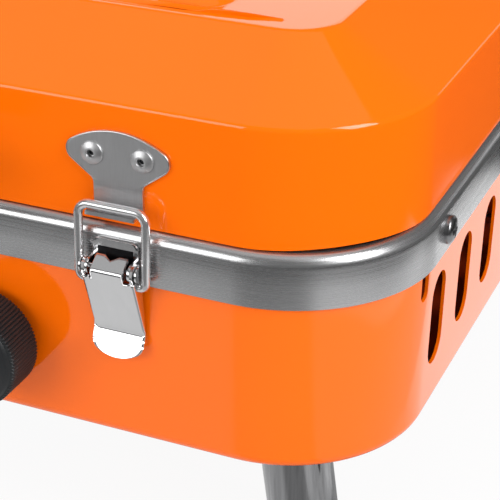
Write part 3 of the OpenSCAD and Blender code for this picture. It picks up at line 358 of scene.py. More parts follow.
# dull black
footRubber = makeFinish("moulded rubber", "#161616", "#1F1F1F", 0.63, 0.07, (0.4, 0.4, 0.4), 0.00004,
                        kind=moulded)
print("finishes made")

# The base is a pressed tray with slots in its side walls and at its front corners. A slot lies in a
# cell of the wall; a lighting slot's cell is given as a stretch of the corner's run.
base = dict(rim=13.5, rimInset=1.0, height=62.4, draft=1.2, fillet=5.0, filletRun=12.0, drain=15.0,
            edge=0.35)
vents = dict(count=6, first=63.0, width=15.5, length=35.5, drop=8.0, cellTop=-4.0, cellLow=-47.5)
lightSlot = dict(behind=46.0, width=5.5, bottom=-11.0, top=4.0, cellTop=8.0, cellLow=-16.0,
                 cell=(1.83, 2.0))
cells = dict(columns=10, rows=16, rings=5, ease=0.8, fine=19)


# baseInset: how far the wall stands in from the band's face, in a straight line from rim to floor
def baseInset(z):
    return base["rimInset"] + (base["rim"] - z) * base["draft"] / (base["rim"] + base["height"])


# ventCell: rings that pass from the edge of a cell to the outline of a slot inside it, each a blend of
# the two. Both have columns points along the bottom and the top, and rows points up each side.
# s is the place along the plan's runs, z the height, across the cell's width in millimetres.
def ventCell(s0, s1, z0, z1, slotMid, slotWidth, slotLow, slotHigh, across):
    columns, rows, r = cells["columns"], cells["rows"], slotWidth / 2
    over, side = np.linspace(0, 1, columns, endpoint=False), np.linspace(0, 1, rows, endpoint=False)
    corners = np.array([[s0, z0], [s1, z0], [s1, z1], [s0, z1], [s0, z0]])
    cell = np.vstack([a + (b - a) * share[:, None]
                      for a, b, share in zip(corners, corners[1:], (over, side, over, side))])
    # half of the slot: the low arc, then a side, which is the arc's end, the straight and the start of
    # the high arc, by length; the other half is the same, turned about the slot's middle
    both = np.array([0.0, slotLow + slotHigh])
    low = arcPoints((0, slotLow + r), r, -135, -45, columns)[:-1]
    line = arcPoints((0, slotLow + r), r, -45, 0, cells["fine"])
    line = np.vstack([line, (both + line * [1, -1])[::-1]])
    length = np.r_[0, np.cumsum(np.linalg.norm(np.diff(line, axis=0), axis=1))]
    right = np.stack([np.interp(side * length[-1], length, line[:, k]) for k in (0, 1)], -1)
    slot = np.vstack([low, right, both - low, both - right])
    slot = np.stack([slotMid + slot[:, 0] * (s1 - s0) / across, slot[:, 1]], -1)
    t = np.linspace(0, 1, cells["rings"])[:, None, None] ** cells["ease"]
    flat = (1 - t) * cell + t * slot
    x, y = ringPoint(flat[..., 0], baseInset(flat[..., 1]), body)
    return np.stack([x, y, flat[..., 1]], -1)


# baseGrids: the wall is a sheet over (c, z), made of plain stretches with the cells of the slots in
# between. Their rows and columns are those of the sheet beside them, so it stays closed.
def baseGrids():
    sideLength = body["depth"] - 2 * body["cornerR"]
    first = (vents["first"] - body["cornerR"]) / sideLength
    pitch = (body["depth"] - 2 * vents["first"]) / (vents["count"] - 1) / sideLength
    edges = np.r_[0, first + pitch * (np.arange(vents["count"] - 1) + 0.5), 1]
    spans = list(zip(edges[:-1], edges[1:]))
    columns, rows = cells["columns"], cells["rows"]
    sideFine = np.concatenate([np.linspace(a, b, columns, endpoint=False) for a, b in spans] + [[1.0]])
    corner, front = np.linspace(0, 1, 25), np.linspace(0, 1, 15)
    c0, c1 = lightSlot["cell"]
    before, slotFine = np.linspace(1, c0, 20), np.linspace(c0, c1, columns + 1)
    z0, z1, zLow, zTop = vents["cellLow"], vents["cellTop"], lightSlot["cellLow"], lightSlot["cellTop"]
    heights = np.r_[np.linspace(z0, z1, rows + 1), np.linspace(zLow, zTop, rows + 1), base["rim"]]
    heights = np.unique(heights)

    def wall(cols, z):
        return sweepRing(cols, np.stack([baseInset(z), z], -1), body), False, False

    # floor: the ring of its edge drawn in to the drain hole; then the fillet, up to the vents' cells
    runs = (front, before, slotFine, 2 + sideFine, 3 + corner, 4 + front, 5 + corner, 6 + sideFine,
            9 - slotFine[::-1], 9 - before[::-1])
    around = np.concatenate([run[:-1] for run in runs])
    floor = -base["height"]
    foot = [[base["filletRun"], floor], [baseInset(floor), floor], [baseInset(z0), z0]]
    foot = rounded(foot, base["fillet"], 8)
    ring = sweepRing(around, foot[:1], body)[0]
    angle = np.arctan2(ring[:, 1], ring[:, 0])
    hole = np.stack([base["drain"] * np.cos(angle), base["drain"] * np.sin(angle), ring[:, 2]], -1)
    t = np.linspace(1, 0, 9)[:, None, None]
    grids = [(t * hole + (1 - t) * ring, True, False), (sweepRing(around, foot, body), True, False)]
    # plain stretches, from the fillet to the rim
    plain = (front, 3 + corner, 4 + front, 5 + corner, before, 9 - before[::-1])
    grids += [wall(cols, heights) for cols in plain]
    # side walls: plain above the vents; the left one runs the other way
    for run in (2, 6):
        grids.append(wall(run + sideFine, heights[heights >= z1]))
        for k, (a, b) in enumerate(spans):
            mid = first + pitch * k
            if run == 6:
                mid, a, b = 1 - mid, 1 - b, 1 - a
            cell = ventCell(run + a, run + b, z0, z1, run + mid, vents["width"],
                            -vents["drop"] - vents["length"], -vents["drop"], (b - a) * sideLength)
            grids.append((cell, True, False))
    # lighting slots: plain below and above
    reach = body["cornerR"] - base["rimInset"]
    swing = np.arcsin((lightSlot["behind"] - body["cornerR"]) / reach) / (np.pi / 2)
    for s0, s1, mid in ((c0, c1, 2 + swing), (9 - c1, 9 - c0, 7 - swing)):
        cols = np.linspace(s0, s1, columns + 1)
        grids += [wall(cols, heights[heights <= zLow]), wall(cols, heights[heights >= zTop])]
        cell = ventCell(s0, s1, zLow, zTop, mid, lightSlot["width"], lightSlot["bottom"],
                        lightSlot["top"], (s1 - s0) * np.pi / 2 * reach)
        grids.append((cell, True, False))
    return grids


baseShell = addPiece("base_shell_enamel", baseGrids(), "base", "base_shell",
                     (orangeEnamel, shadedInsideEnamel))
# the wall's inner face takes the second enamel, darker as painted shade
thicken(baseShell, body["sheet"], -1, base["edge"]).material_offset = 1

# The lid: upright wall, sloping shoulder, and a raised panel with its own plan
lid = dict(inset=3.0, low=19.3, wall=40.9, run=32.5, rise=20.1, lap=8.0, crease=2.5, upperCrease=5.0,
           spring=1.2, edge=0.45)
panel = dict(width=281.0, depth=203.0, cornerR=13.0, height=5.0, run=6.0, lap=3.0, crease=2.5)


# lidGrids: wall and shoulder are one profile carried round the body's plan, the step of the panel is
# another round its own; between them, and over the crown, rings blend from one outline to the next
def lidGrids():
    columns = ringColumns(32, 16)
    wall, crease = lid["inset"], lid["low"] + lid["wall"]
    slope, top = wall + lid["run"], crease + lid["rise"]
    profile = rounded([[wall, lid["low"]], [wall, crease], [slope, top], [slope + lid["lap"], top]],
                      [lid["crease"], lid["upperCrease"]], 8)
    outer = sweepRing(columns, profile, body)
    # pressing leaves the lower edge a little higher at the corners
    swell = np.where(columns.astype(int) % 2, np.sin(np.pi * (columns % 1)) ** 2, 0)
    outer[0, :, 2] += lid["spring"] * swell
    high, lap, run = top + panel["height"], panel["lap"], panel["run"]
    step = rounded([[-lap, top], [0, top], [run, high], [run + lap, high]], panel["crease"], 6)
    inner = sweepRing(columns, step, panel)
    t = np.linspace(0, 1, 4)[:, None, None]
    flat = (1 - t) * outer[-1] + t * inner[0]
    t = np.linspace(0, 1, 12)[:, None, None]
    crown = (1 - t) * inner[-1] + t * inner[-1] * [0.0, 0.0, 1.0]
    return [(grid, True, False) for grid in (outer, flat, inner, crown)]


lidShell = addPiece("lid_shell_enamel", lidGrids(), "lid", "lid_shell", orangeEnamel)
thicken(lidShell, body["sheet"], -1, lid["edge"], 3)

# The band: flat face, half-round roll over the base's rim, short lip inside; thickness on the inner side
band = dict(face=14.5, roll=4.5, sheet=0.8, lip=4.5, edge=0.25)


# bandGrids: one closed profile carried round the body, cut in two finishes: the roll has its own
def bandGrids():
    columns = ringColumns(32, 20)
    f, r, t, end = band["face"], band["roll"], band["sheet"], band["face"] - band["lip"]
    out = np.vstack([[[band["edge"], 0.0], [0.0, band["edge"]], [0.0, f / 2]],
                     arcPoints((r, f), r, 180, 0, 20), [[2 * r, end]]])
    back = np.vstack([[[2 * r - t, end]], arcPoints((r, f), r - t, 0, 180, 16), [[t, f / 2], [t, 0.0]]])
    parts = (np.vstack([out[-2:], back, out[:3]]), 0), (out[2:4], 0), (out[3:-1], 1)
    return [(sweepRing(columns, profile, body), True, False, index) for profile, index in parts]


addPiece("trim_band_steel", bandGrids(), "base", "trim_band", (bandSteel, rollSteel), 40)
print("base, lid and band made")

# The latches. Heights are z; places across and along are from the latch's middle and the band's face.
latch = dict(side=123.5, face=-144.0, sheet=1.2, neck=8.7, rivetX=8.85, rivetZ=43.1, top=51.3, wire=1.5)
strike = dict(mid=2.35, front=-4.8, low=25.0, ledge=25.6, hookR=1.3, hookRise=4.0, shoulder=34.2,
              tip=(21.5, 43.7), radii=(2.5, 4.0), crownR=30.0, crownX=15.17, bead=0.32, beadSink=0.6,
              beadFrom=2.0, edge=0.35)


# atLatch: moves a grid to the left or the right latch
def atLatch(grid, side):
    return grid + np.array([side * latch["side"], latch["face"], 0.0])


# strikeEdge: the right half of the plate's mushroom-shaped outline, (x, z) from the neck to the crown
def strikeEdge():
    neck, r = latch["neck"], strike["crownR"]
    start = 90 - np.degrees(np.arcsin(strike["crownX"] / r))
    crown = arcPoints((0, latch["top"] - r), r, start, 90, 24)
    edge = [[neck, strike["low"]], [neck, strike["shoulder"]], strike["tip"], crown[0]]
    return np.vstack([rounded(edge, strike["radii"], 10)[:-1], crown])


# strikeBead: the plate's rounded front edge, a thin tube along both halves of the outline
def strikeBead():
    edge = strikeEdge()
    edge = edge[edge[:, 1] > strike["ledge"] + strike["beadFrom"]]
    sink = strike["bead"] * strike["beadSink"]
    depth = np.full(len(edge), strike["mid"] - latch["sheet"] / 2 + sink)
    right = np.stack([np.maximum(edge[:, 0] - sink, 0.0), depth, edge[:, 1]], -1)
    return tube(np.vstack([right, (right * [-1, 1, 1])[-2::-1]]), strike["bead"], (0.0, 1.0, 0.0), 12)


# strikeGrid: a ribbon up the plate, as wide as the outline at each height; below, it turns out into the
# ledge that the bail's bar pulls down
def strikeGrid():
    mid, edge = strike["mid"], strikeEdge()
    ledge = strike["ledge"] - latch["sheet"] / 2
    bend = ledge + strike["hookRise"]
    hook = rounded([[strike["front"], ledge], [mid, ledge], [mid, bend]], strike["hookR"], 8)
    rise = np.unique(np.r_[np.linspace(bend + 0.4, latch["top"], 44), edge[edge[:, 1] > bend + 0.2, 1]])
    path = np.vstack([hook, np.stack([np.full(len(rise), mid), rise], -1)])
    half = np.r_[np.full(len(hook), latch["neck"]), np.interp(rise, edge[:, 1], edge[:, 0])]
    half[-1] = 0.0
    return ribbon(path, half, 25)


# The bail: its ends turn in to the lever's ears; half is to the middle of the wire
bail = dict(pivot=(-4.0, 1.4), bar=(-3.0, 27.4), half=12.0, end=8.6, topR=4.0, lowR=2.2)


# bailPath: a rounded frame, drawn flat and then leaned so that it runs from the pivot to the bar
def bailPath():
    pivot, half = np.array(bail["pivot"]), bail["half"]
    y, z = np.array(bail["bar"]) - pivot
    h = np.hypot(y, z)
    flat = rounded([[-bail["end"], 0], [-half, 0], [-half, h], [half, h], [half, 0], [bail["end"], 0]],
                   [bail["lowR"], bail["topR"], bail["topR"], bail["lowR"]], 10)
    along = np.array([y, z]) / h
    path = np.concatenate([flat[:, :1], pivot + flat[:, 1:] * along], 1)
    return path, np.array([0.0, along[1], -along[0]])


# The lever: a narrow strip curls over the pivot and widens to the plate, whose sides are folded back as
# flanges; past the heel it is the tongue. curl, bend and heel are from the pivot, tongue from the heel.
lever = dict(pivot=(-5.0, 6.6), curl=(1.5, 4.0), bend=(-3.8, 0.2), heel=(4.9, -25.6), tongue=(-3.5, -8.2),
             bendR=1.6, heelR=1.2, plateFrom=3.5, back=-1.1, backTop=9.0, flangeEnd=3.0, sheet=1.0,
             half=9.4, strip=5.7, columns=33, fold=1.0, ear=3.1, earX=9.1, bailEar=2.35, notch=(2.6, 1.9),
             straight=0.35, taper=2.2, edge=0.06)


# channel: a sheet along a path with both sides folded back. Across, it runs up one flange, round the
# fold, over the plate and down the other flange; depth and half width are given at each point.
def channel(path, inward, depth, half):
    n, h = len(path), half[:, None]
    r = np.minimum(lever["fold"], depth)[:, None]
    a = np.radians(np.linspace(0, 90, 7))
    t = np.linspace(1, 0, 6)
    sideX = np.concatenate([np.repeat(h, len(t), 1), h - r + r * np.cos(a)], 1)
    sideD = np.concatenate([r + (depth[:, None] - r) * t, r - r * np.sin(a)], 1)
    # the plate's columns fall on those of the strip, so that the two are one sheet
    inner = np.linspace(1, -1, lever["columns"]) * lever["strip"] / (lever["half"] - lever["fold"])
    plateX = (h - r) * np.r_[(1 + inner[0]) / 2, inner, -(1 + inner[0]) / 2]
    x = np.concatenate([sideX, plateX, -sideX[:, ::-1]], 1)
    d = np.concatenate([sideD, np.zeros((n, plateX.shape[1])), sideD[:, ::-1]], 1)
    return np.stack([x, path[:, :1] + d * inward[0], path[:, 1:] + d * inward[1]], -1)


# leverGrids: the strip as a ribbon, plate and tongue as a channel, and the outline of the ears
def leverGrids():
    p = np.array(lever["pivot"])
    curl, bend, heel = p + lever["curl"], p + lever["bend"], p + lever["heel"]
    tip = heel + lever["tongue"]
    down = (heel - bend) / np.linalg.norm(heel - bend)
    inward = np.array([-down[1], down[0]])
    top = bend + down * lever["plateFrom"]
    share = np.linspace(0, 1, 6)
    stripPath = rounded([curl, bend, top], lever["bendR"], 8)
    stripPath = np.vstack([curl + (stripPath[1] - curl) * share[:-1, None], stripPath[1:]])
    strip = ribbon(stripPath, np.full(len(stripPath), lever["strip"]), lever["columns"])
    # the strip's free end has a small notch in the middle of its edge
    wide, deep = lever["notch"]
    dent = np.clip(1 - np.abs(strip[0, :, :1]) / wide, 0, 1) * deep
    strip[:6, :, 1:] += share[::-1, None, None] * dent * (bend - curl) / np.linalg.norm(bend - curl)
    # plate and tongue in one: straight down to the heel, round it, and out to the tongue's round tip
    turn = rounded([top, heel, tip], lever["heelR"], 6)
    s = lever["straight"]
    t = np.r_[np.linspace(0, s, 5), s + (1 - s) * np.sin(np.linspace(0, np.pi / 2, 24))[1:]][1:]
    path = np.vstack([top + (turn[1] - top) * np.linspace(0, 1, 25)[:-1, None], turn[1:-1],
                      turn[-2] + (tip - turn[-2]) * t[:, None]])
    ease = np.sqrt(np.clip(1 - (np.clip(t - s, 0, 1) / (1 - s)) ** lever["taper"], 0, 1))
    half = lever["half"] * np.r_[np.ones(len(path) - len(t)), ease]
    # the flanges reach back to a line that runs down behind the pivots and comes in to the heel
    back = np.array([[lever["back"], lever["backTop"]], [lever["back"], bail["pivot"][1]],
                     heel - lever["flangeEnd"] * down + inward, turn[1]])
    depth = (np.interp(-path[:, 1], -back[:, 1], back[:, 0]) - path[:, 0]) * inward[0]
    depth = np.where(path[:, 1] > turn[1][1] + 1e-6, np.clip(depth, 0, None), 0.0)
    plate = channel(path, inward, depth, half)[:, ::-1]
    discs = (p, lever["ear"]), (bail["pivot"], lever["bailEar"])
    ear = wrap(np.vstack([arcPoints(mid, r, 0, 360, 48)[:-1] for mid, r in discs]))
    return strip, plate, ear


# The bracket: a plate on the band, two ears beside the pivot, and between them the window, given as half
# width, lower and upper edge, filled by a nearly black sheet that is painted shade
bracket = dict(half=8.1, low=1.0, top=15.0, front=-1.25, round=2.2, ear=2.9, root=0.4,
               window=(6.4, 3.2, 12.3), windowProud=0.05, sheet=1.0, edge=0.15)


# bracketGrids: plate and the window's sheet of painted shade are ribbons up the band; an ear is wrapped
# round the pivot and its root
def bracketGrids():
    b, p = bracket, np.array(lever["pivot"])
    corner, start = b["half"] - b["round"], b["top"] - b["round"]
    straight = np.stack([np.full(5, b["half"]), np.linspace(b["low"], start, 6)[:-1]], -1)
    edge = np.vstack([straight, arcPoints((corner, start), b["round"], 0, 90, 8)])
    plate = ribbon(np.stack([np.full(len(edge), b["front"]), edge[:, 1]], -1), edge[:, 0], 15)
    half, low, high = b["window"]
    window = ribbon(np.stack([np.full(5, b["front"] - b["windowProud"]), np.linspace(low, high, 5)], -1),
                    np.full(5, half), 9)
    root = b["front"] + b["root"]
    corners = [[root, p[1] - b["ear"]], [root, p[1] + b["ear"]]]
    ear = wrap(np.vstack([arcPoints(p, b["ear"], 0, 360, 36)[:-1], corners]))
    return plate, window, ear


# rivetGrids: profiles turned about z. A blind rivet's flange is a flat cone round a hole, with the broken
# mandrel deep in it.
def rivetGrids():
    flange = np.array([[1.2, -0.2], [1.25, 1.3], [1.4, 1.5], [1.7, 1.55], [2.2, 1.45], [3.2, 0.95],
                       [3.75, 0.65], [3.95, 0.5], [4.0, 0.3], [3.9, 0.1], [3.6, 0.0]])
    mandrel = np.array([[0.0, 0.25], [0.8, 0.2], [1.1, -0.1], [1.2, -0.2]])
    return turned(flange, 40), turned(mandrel, 40)


hands = ((-1, "left"), (1, "right"))
for side, hand in hands:
    strikePiece = addPiece("strike_plate_steel_" + hand, [(atLatch(strikeGrid(), side), False, False)],
                           "lid", "strike_plate_" + hand, (plateSteel, cutEdge), 40)
    thicken(strikePiece, latch["sheet"], 0, strike["edge"], 3).material_offset_rim = 1
    addPiece("strike_edge_steel_" + hand, [(atLatch(strikeBead(), side), True, False)], "lid",
             "strike_plate_" + hand, cutEdge, 50)
    strip, plate, ear = leverGrids()
    grids = [(atLatch(grid, side), False, True) for grid in (strip, plate)]
    grids += [(atLatch(discGrid(ear, k * lever["earX"]), side), True, k < 0) for k in (-1, 1)]
    leverPiece = addPiece("latch_lever_steel_" + hand, grids, "latch_lever_" + hand, "latch_lever_" + hand,
                          polishedSteel, 30)
    thicken(leverPiece, lever["sheet"], -1, lever["edge"], 1)
    plate, window, ear = bracketGrids()
    # the window's sheet takes the nearly black finish: painted shade
    grids = [(atLatch(plate, side), False, False), (atLatch(window, side), False, False, 1)]
    grids += [(atLatch(discGrid(ear, k * bracket["half"]), side), True, k < 0) for k in (-1, 1)]
    bracketPiece = addPiece("latch_bracket_steel_" + hand, grids, "base", "latch_bracket_" + hand,
                            (polishedSteel, shadeDarkSteel), 30)
    thicken(bracketPiece, bracket["sheet"], -1, bracket["edge"])
    path, across = bailPath()
    wire = atLatch(closedTube(path, latch["wire"], across), side)
    addPiece("latch_bail_wire_" + hand, [(wire, True, False)], "latch_bail_" + hand, "latch_bail_" + hand,
             wireSteel, 50)
rivets = []
for side, k in ((-1, -1), (-1, 1), (1, -1), (1, 1)):
    at = (k * latch["rivetX"], strike["mid"] - latch["sheet"] / 2, latch["rivetZ"])
    rivets += [(atLatch(facingFront(grid, at), side), True, True, i) for i, grid in enumerate(rivetGrids())]
# the mandrels are real steel, drawn nearly black as painted shade in the rivets' holes
addPiece("strike_rivets_alloy", rivets, "lid", "strike_rivets", (rivetAlloy, shadeDarkSteel),
         40)
print("latches made")

# Band screws: pan heads with a cross recess
bandScrew = dict(x=215.0, y=81.0, z=8.5, radius=5.0, height=2.8, skirt=1.0, arm=2.7, armEnd=0.4,
                 armHalf=0.7, armSoft=0.12, depth=1.6, shank=1.9, length=4.0)


# screwGrid: height as a function of radius and angle, a dome less the recess; skirt and shank are turned
def screwGrid():
    b = bandScrew
    a = np.linspace(0, 2 * np.pi, 120, endpoint=False)[None, :]
    r = np.linspace(0, b["radius"], 48)[:, None]
    x, y = r * np.cos(a), r * np.sin(a)
    dome = b["skirt"] + (b["height"] - b["skirt"]) * np.sqrt(np.clip(1 - (r / b["radius"]) ** 3, 0, 1))
    far, near = np.maximum(np.abs(x), np.abs(y)), np.minimum(np.abs(x), np.abs(y))
    cross = 1 - smoothStep(near, b["armHalf"] - b["armSoft"], b["armHalf"] + b["armSoft"])
    cross = cross * (1 - smoothStep(far, b["arm"] - b["armEnd"], b["arm"]))
    top = np.stack([x, y, dome - b["depth"] * cross], -1)
    side = np.array([[b["radius"], b["skirt"]], [b["radius"], 0.0], [b["shank"], 0.0],
                     [b["shank"], -b["length"]], [0.0, -b["length"]]])
    return np.concatenate([top, turned(side, a.shape[1])])


screws = [facingSide(screwGrid(), (side * bandScrew["x"], end * bandScrew["y"], bandScrew["z"]), side)
          for side in (-1, 1) for end in (-1, 1)]
addPiece("band_screws_plated", [(grid, True, True) for grid in screws], "base", "band_screws",
         screwSteel, 40)

# The knobs: hollow at the back for the valve's screws, ribbed round the skirt, dished in front
knob = dict(x=74.0, z=-31.5, radius=19.0, skirt=16.0, gap=3.8, ribs=88, ribDepth=0.6, ribPower=0.6,
            ribPoints=6, front=3.0, dish=11.8, hollow=15.0, hollowDepth=10.0)


# knobGrid: a profile turned about z, from the hollow round the skirt to the dish; the ribs are a wave of
# the angle, raised to a power that narrows the grooves
def knobGrid():
    r, s, d, f = knob["radius"], knob["skirt"], knob["dish"], knob["skirt"] + knob["front"]
    h, deep = knob["hollow"], knob["hollowDepth"]
    profile = np.array([
        [0.0, deep], [5.0, deep], [h - 1.2, deep], [h - 0.4, deep - 0.3], [h, deep - 1.0], [h, deep / 2],
        [h, 0.6], [h + 0.4, 0.0],
        [r - 0.6, 0.0], [r - 0.15, 0.2], [r, 0.7], [r, s * 0.3], [r, s * 0.6], [r, s - 0.8],
        [r - 0.2, s - 0.3], [r - 0.7, s],
        [r - 1.0, s], [r - 1.3, s + 0.05], [r - 1.9, s + 1.1], [r - 2.4, s + 1.4], [d + 1.2, f - 0.1],
        [d + 0.6, f], [d + 0.1, f - 0.2], [d - 0.7, s + 1.6], [d - 1.4, s + 1.3], [5.0, s + 1.5],
        [0.0, s + 1.6]])
    share = np.zeros(len(profile))
    share[8:16] = [0.5, 0.9, 1, 1, 1, 1, 0.9, 0.5]  # how deep the ribs are on the skirt's points

    def ribs(a, row):
        wave = 0.5 - 0.5 * np.cos(knob["ribs"] * a)
        return knob["ribDepth"] * share[row] * (1 - wave ** knob["ribPower"])

    return turned(profile, knob["ribs"] * knob["ribPoints"], ribs)


front = -body["depth"] / 2 + baseInset(knob["z"])
for side, hand in hands:
    grid = facingFront(knobGrid(), (side * knob["x"], front - knob["gap"], knob["z"]))
    addPiece("knob_phenolic_" + hand, [(grid, True, False)], "knob_" + hand, "knob_" + hand,
             blackPlastic, 45)
print("knobs made")

# The leg frames: two legs and the cross tube on which they turn
leg = dict(x=172.2, y=106.0, z=-76.4, radius=12.7, wall=1.2, splay=8.0, length=34.33, foot=5.0)


# legGrid: a tube up one leg, across and down the other, outside and inside, joined at its ends; all of
# it is turned about y by the splay
def legGrid(side):
    y, low = leg["y"], leg["foot"] - leg["length"]
    path = [[0, -y, low], [0, -y, 0], [0, y, 0], [0, y, low]]
    outer, inner = (tube(path, leg["radius"] - wall, (1, 0, 0), 48) for wall in (0.0, leg["wall"]))
    grid = np.concatenate([outer, inner[::-1], outer[:1]])
    a = np.radians(side * leg["splay"])
    x, z = grid[..., 0], grid[..., 2]
    leaned = np.stack([x * np.cos(a) - z * np.sin(a), grid[..., 1], x * np.sin(a) + z * np.cos(a)], -1)
    return leaned + np.array([side * leg["x"], 0.0, leg["z"]])


# rows of the grid from and to, and which finish they have: 0 on the legs, 1 on the cross tube
spans = ((0, 2, 0), (1, 3, 1), (2, 6, 0), (5, 7, 1), (6, 9, 0))
for side, hand in hands:
    grid = legGrid(side)
    # both finishes carry painted reflections: dark and light bands along the tubes
    addPiece("leg_frame_tube_" + hand, [(grid[a:b], True, False, index) for a, b, index in spans],
             "leg_" + hand, "leg_frame_" + hand, (reflectionBandedLegSteel, reflectionBandedCrossSteel), 40)

# The legs' stops: an angle of sheet, with a foot on the floor's underside and a short limb beside the leg
legStop = dict(x=185.6, y=106.0, floor=-62.5, foot=11.0, limb=10.6, width=18.0, bendR=1.0, sheet=1.5,
               edge=0.2)


# stopGrid: a bent line in (x, z) drawn out along y
def stopGrid(k, m):
    path = rounded([[legStop["foot"], 0.0], [0.0, 0.0], [0.0, -legStop["limb"]]], legStop["bendR"], 5)
    y = m * legStop["y"] + np.linspace(-0.5, 0.5, 5) * legStop["width"]
    x, y = np.meshgrid(k * (legStop["x"] + path[:, 0]), y, indexing="ij")
    return np.stack([x, y, np.repeat(legStop["floor"] + path[:, 1:], 5, 1)], -1)


grids = [(stopGrid(k, m), False, k > 0) for k in (-1, 1) for m in (-1, 1)]
legStops = addPiece("leg_stops_sheet", grids, "base", "leg_stops", sheetSteel, 40)
thicken(legStops, legStop["sheet"], -1, legStop["edge"])
print("legs made")

# Finishes of the CAD nodes that stay in view; * stands for left and right
dressed = {
    platedSteel: "handle_screws hinge_base_rivets hinge_lid_rivets valve_screws clamp_screws handle_posts",
    polishedSteel: "latch_pin_*",
    plateSteel: "hinge_base_leaf_* hinge_lid_leaf_* hinge_pin_* valve_stem_*",
    blackPlastic: "handle_grip",
    gasBrass: "valve_body_* gas_manifold gas_inlet inlet_nut",
    burnerSteel: "burner_* burner_stand_* flame_tamer_* tamer_rail_front tamer_rail_rear grate_brackets",
    blackEnamel: "cooking_grate",
    trayAluminium: "drip_tray",
    sheetSteel: "tray_rail_* leg_clamps",
    footRubber: "leg_feet_*",
}
for material, names in dressed.items():
    for name in [name.replace("*", hand) for name in names.split() for side, hand in hands]:
        nodes[name].data.materials.clear()
        nodes[name].data.materials.append(material)
print("CAD nodes dressed")

# The camera stands where the photograph was taken from: millimetres in the frame of the shapes, degrees
shot = dict(place=(339.07, -545.99, 246.27), azimuth=22.84, elevation=27.33, roll=0.56, lens=114.6,
            sensor=36.0)


# placed: an object that looks along -back, with right to its right
def placed(name, data, right, up, back, at):
    thing = bpy.data.objects.new(name, data)
    bpy.context.scene.collection.objects.link(thing)
    matrix = np.eye(4)
    matrix[:3] = np.stack([right, up, back, at], -1)
    thing.matrix_world = Matrix(matrix.tolist())
    return thing


# makeCamera: azimuth and elevation give the way back from the view, and roll turns right and up about it
def makeCamera():
    a, e, r = np.radians([shot["azimuth"], shot["elevation"], shot["roll"]])
    back = np.array([np.sin(a) * np.cos(e), -np.cos(a) * np.cos(e), np.sin(e)])
    right = np.array([np.cos(a), np.sin(a), 0])
    up = np.cross(back, right)
    right, up = np.cos(r) * right + np.sin(r) * up, -np.sin(r) * right + np.cos(r) * up
    data = bpy.data.cameras.new("camera")
    data.sensor_width, data.lens = shot["sensor"], shot["lens"]
    data.clip_start, data.clip_end = 0.01, 100.0
    bpy.context.scene.camera = placed("camera", data, right, up, back, toRow(shot["place"]))


# The floor is white to the camera and plain matt to everything else, but what is mirrored in the enamel and
# the steel is a glowing pale table, a painted reflection, that ends a hand's breadth or two from the grill;
# its glow is painted brighter at the sides, the rim and where the band mirrors it, and darker in wedges of
# painted shadow under the grill. Metres; a pair says where a soft step is full and where it has gone.
table = dict(
    reach=(0.17, 0.24), backShare=2.2, level=0.66, beyond=0.04,  # its edge, nearer at the back
    corner=0.3, slant=1.45, cornerEdge=(-0.004, 0.012),  # the sides draw in towards the back
    strip=0.065, stripEdge=(0.061, 0.069), stripFrom=(0.05, -0.12), stripExtra=0.5,  # bright sides
    bandEdge=(0.06, 0.054), bandFrom=(0.16, 0.11), bandExtra=2.1,  # brightest where the band mirrors it
    ringEdge=(0.165, 0.15), ringSide=(0.12, 0.05), ringExtra=0.5,  # brighter rim
    lean=0.42, least=0.001, wedgeAside=(0.172, 0.155), wedgeTurn=(0.5, 0.8), wedgeCut=0.5,  # dark wedges
    albedo="#D8D8D8", seen=0.93, size=4.0, under=-0.0005)


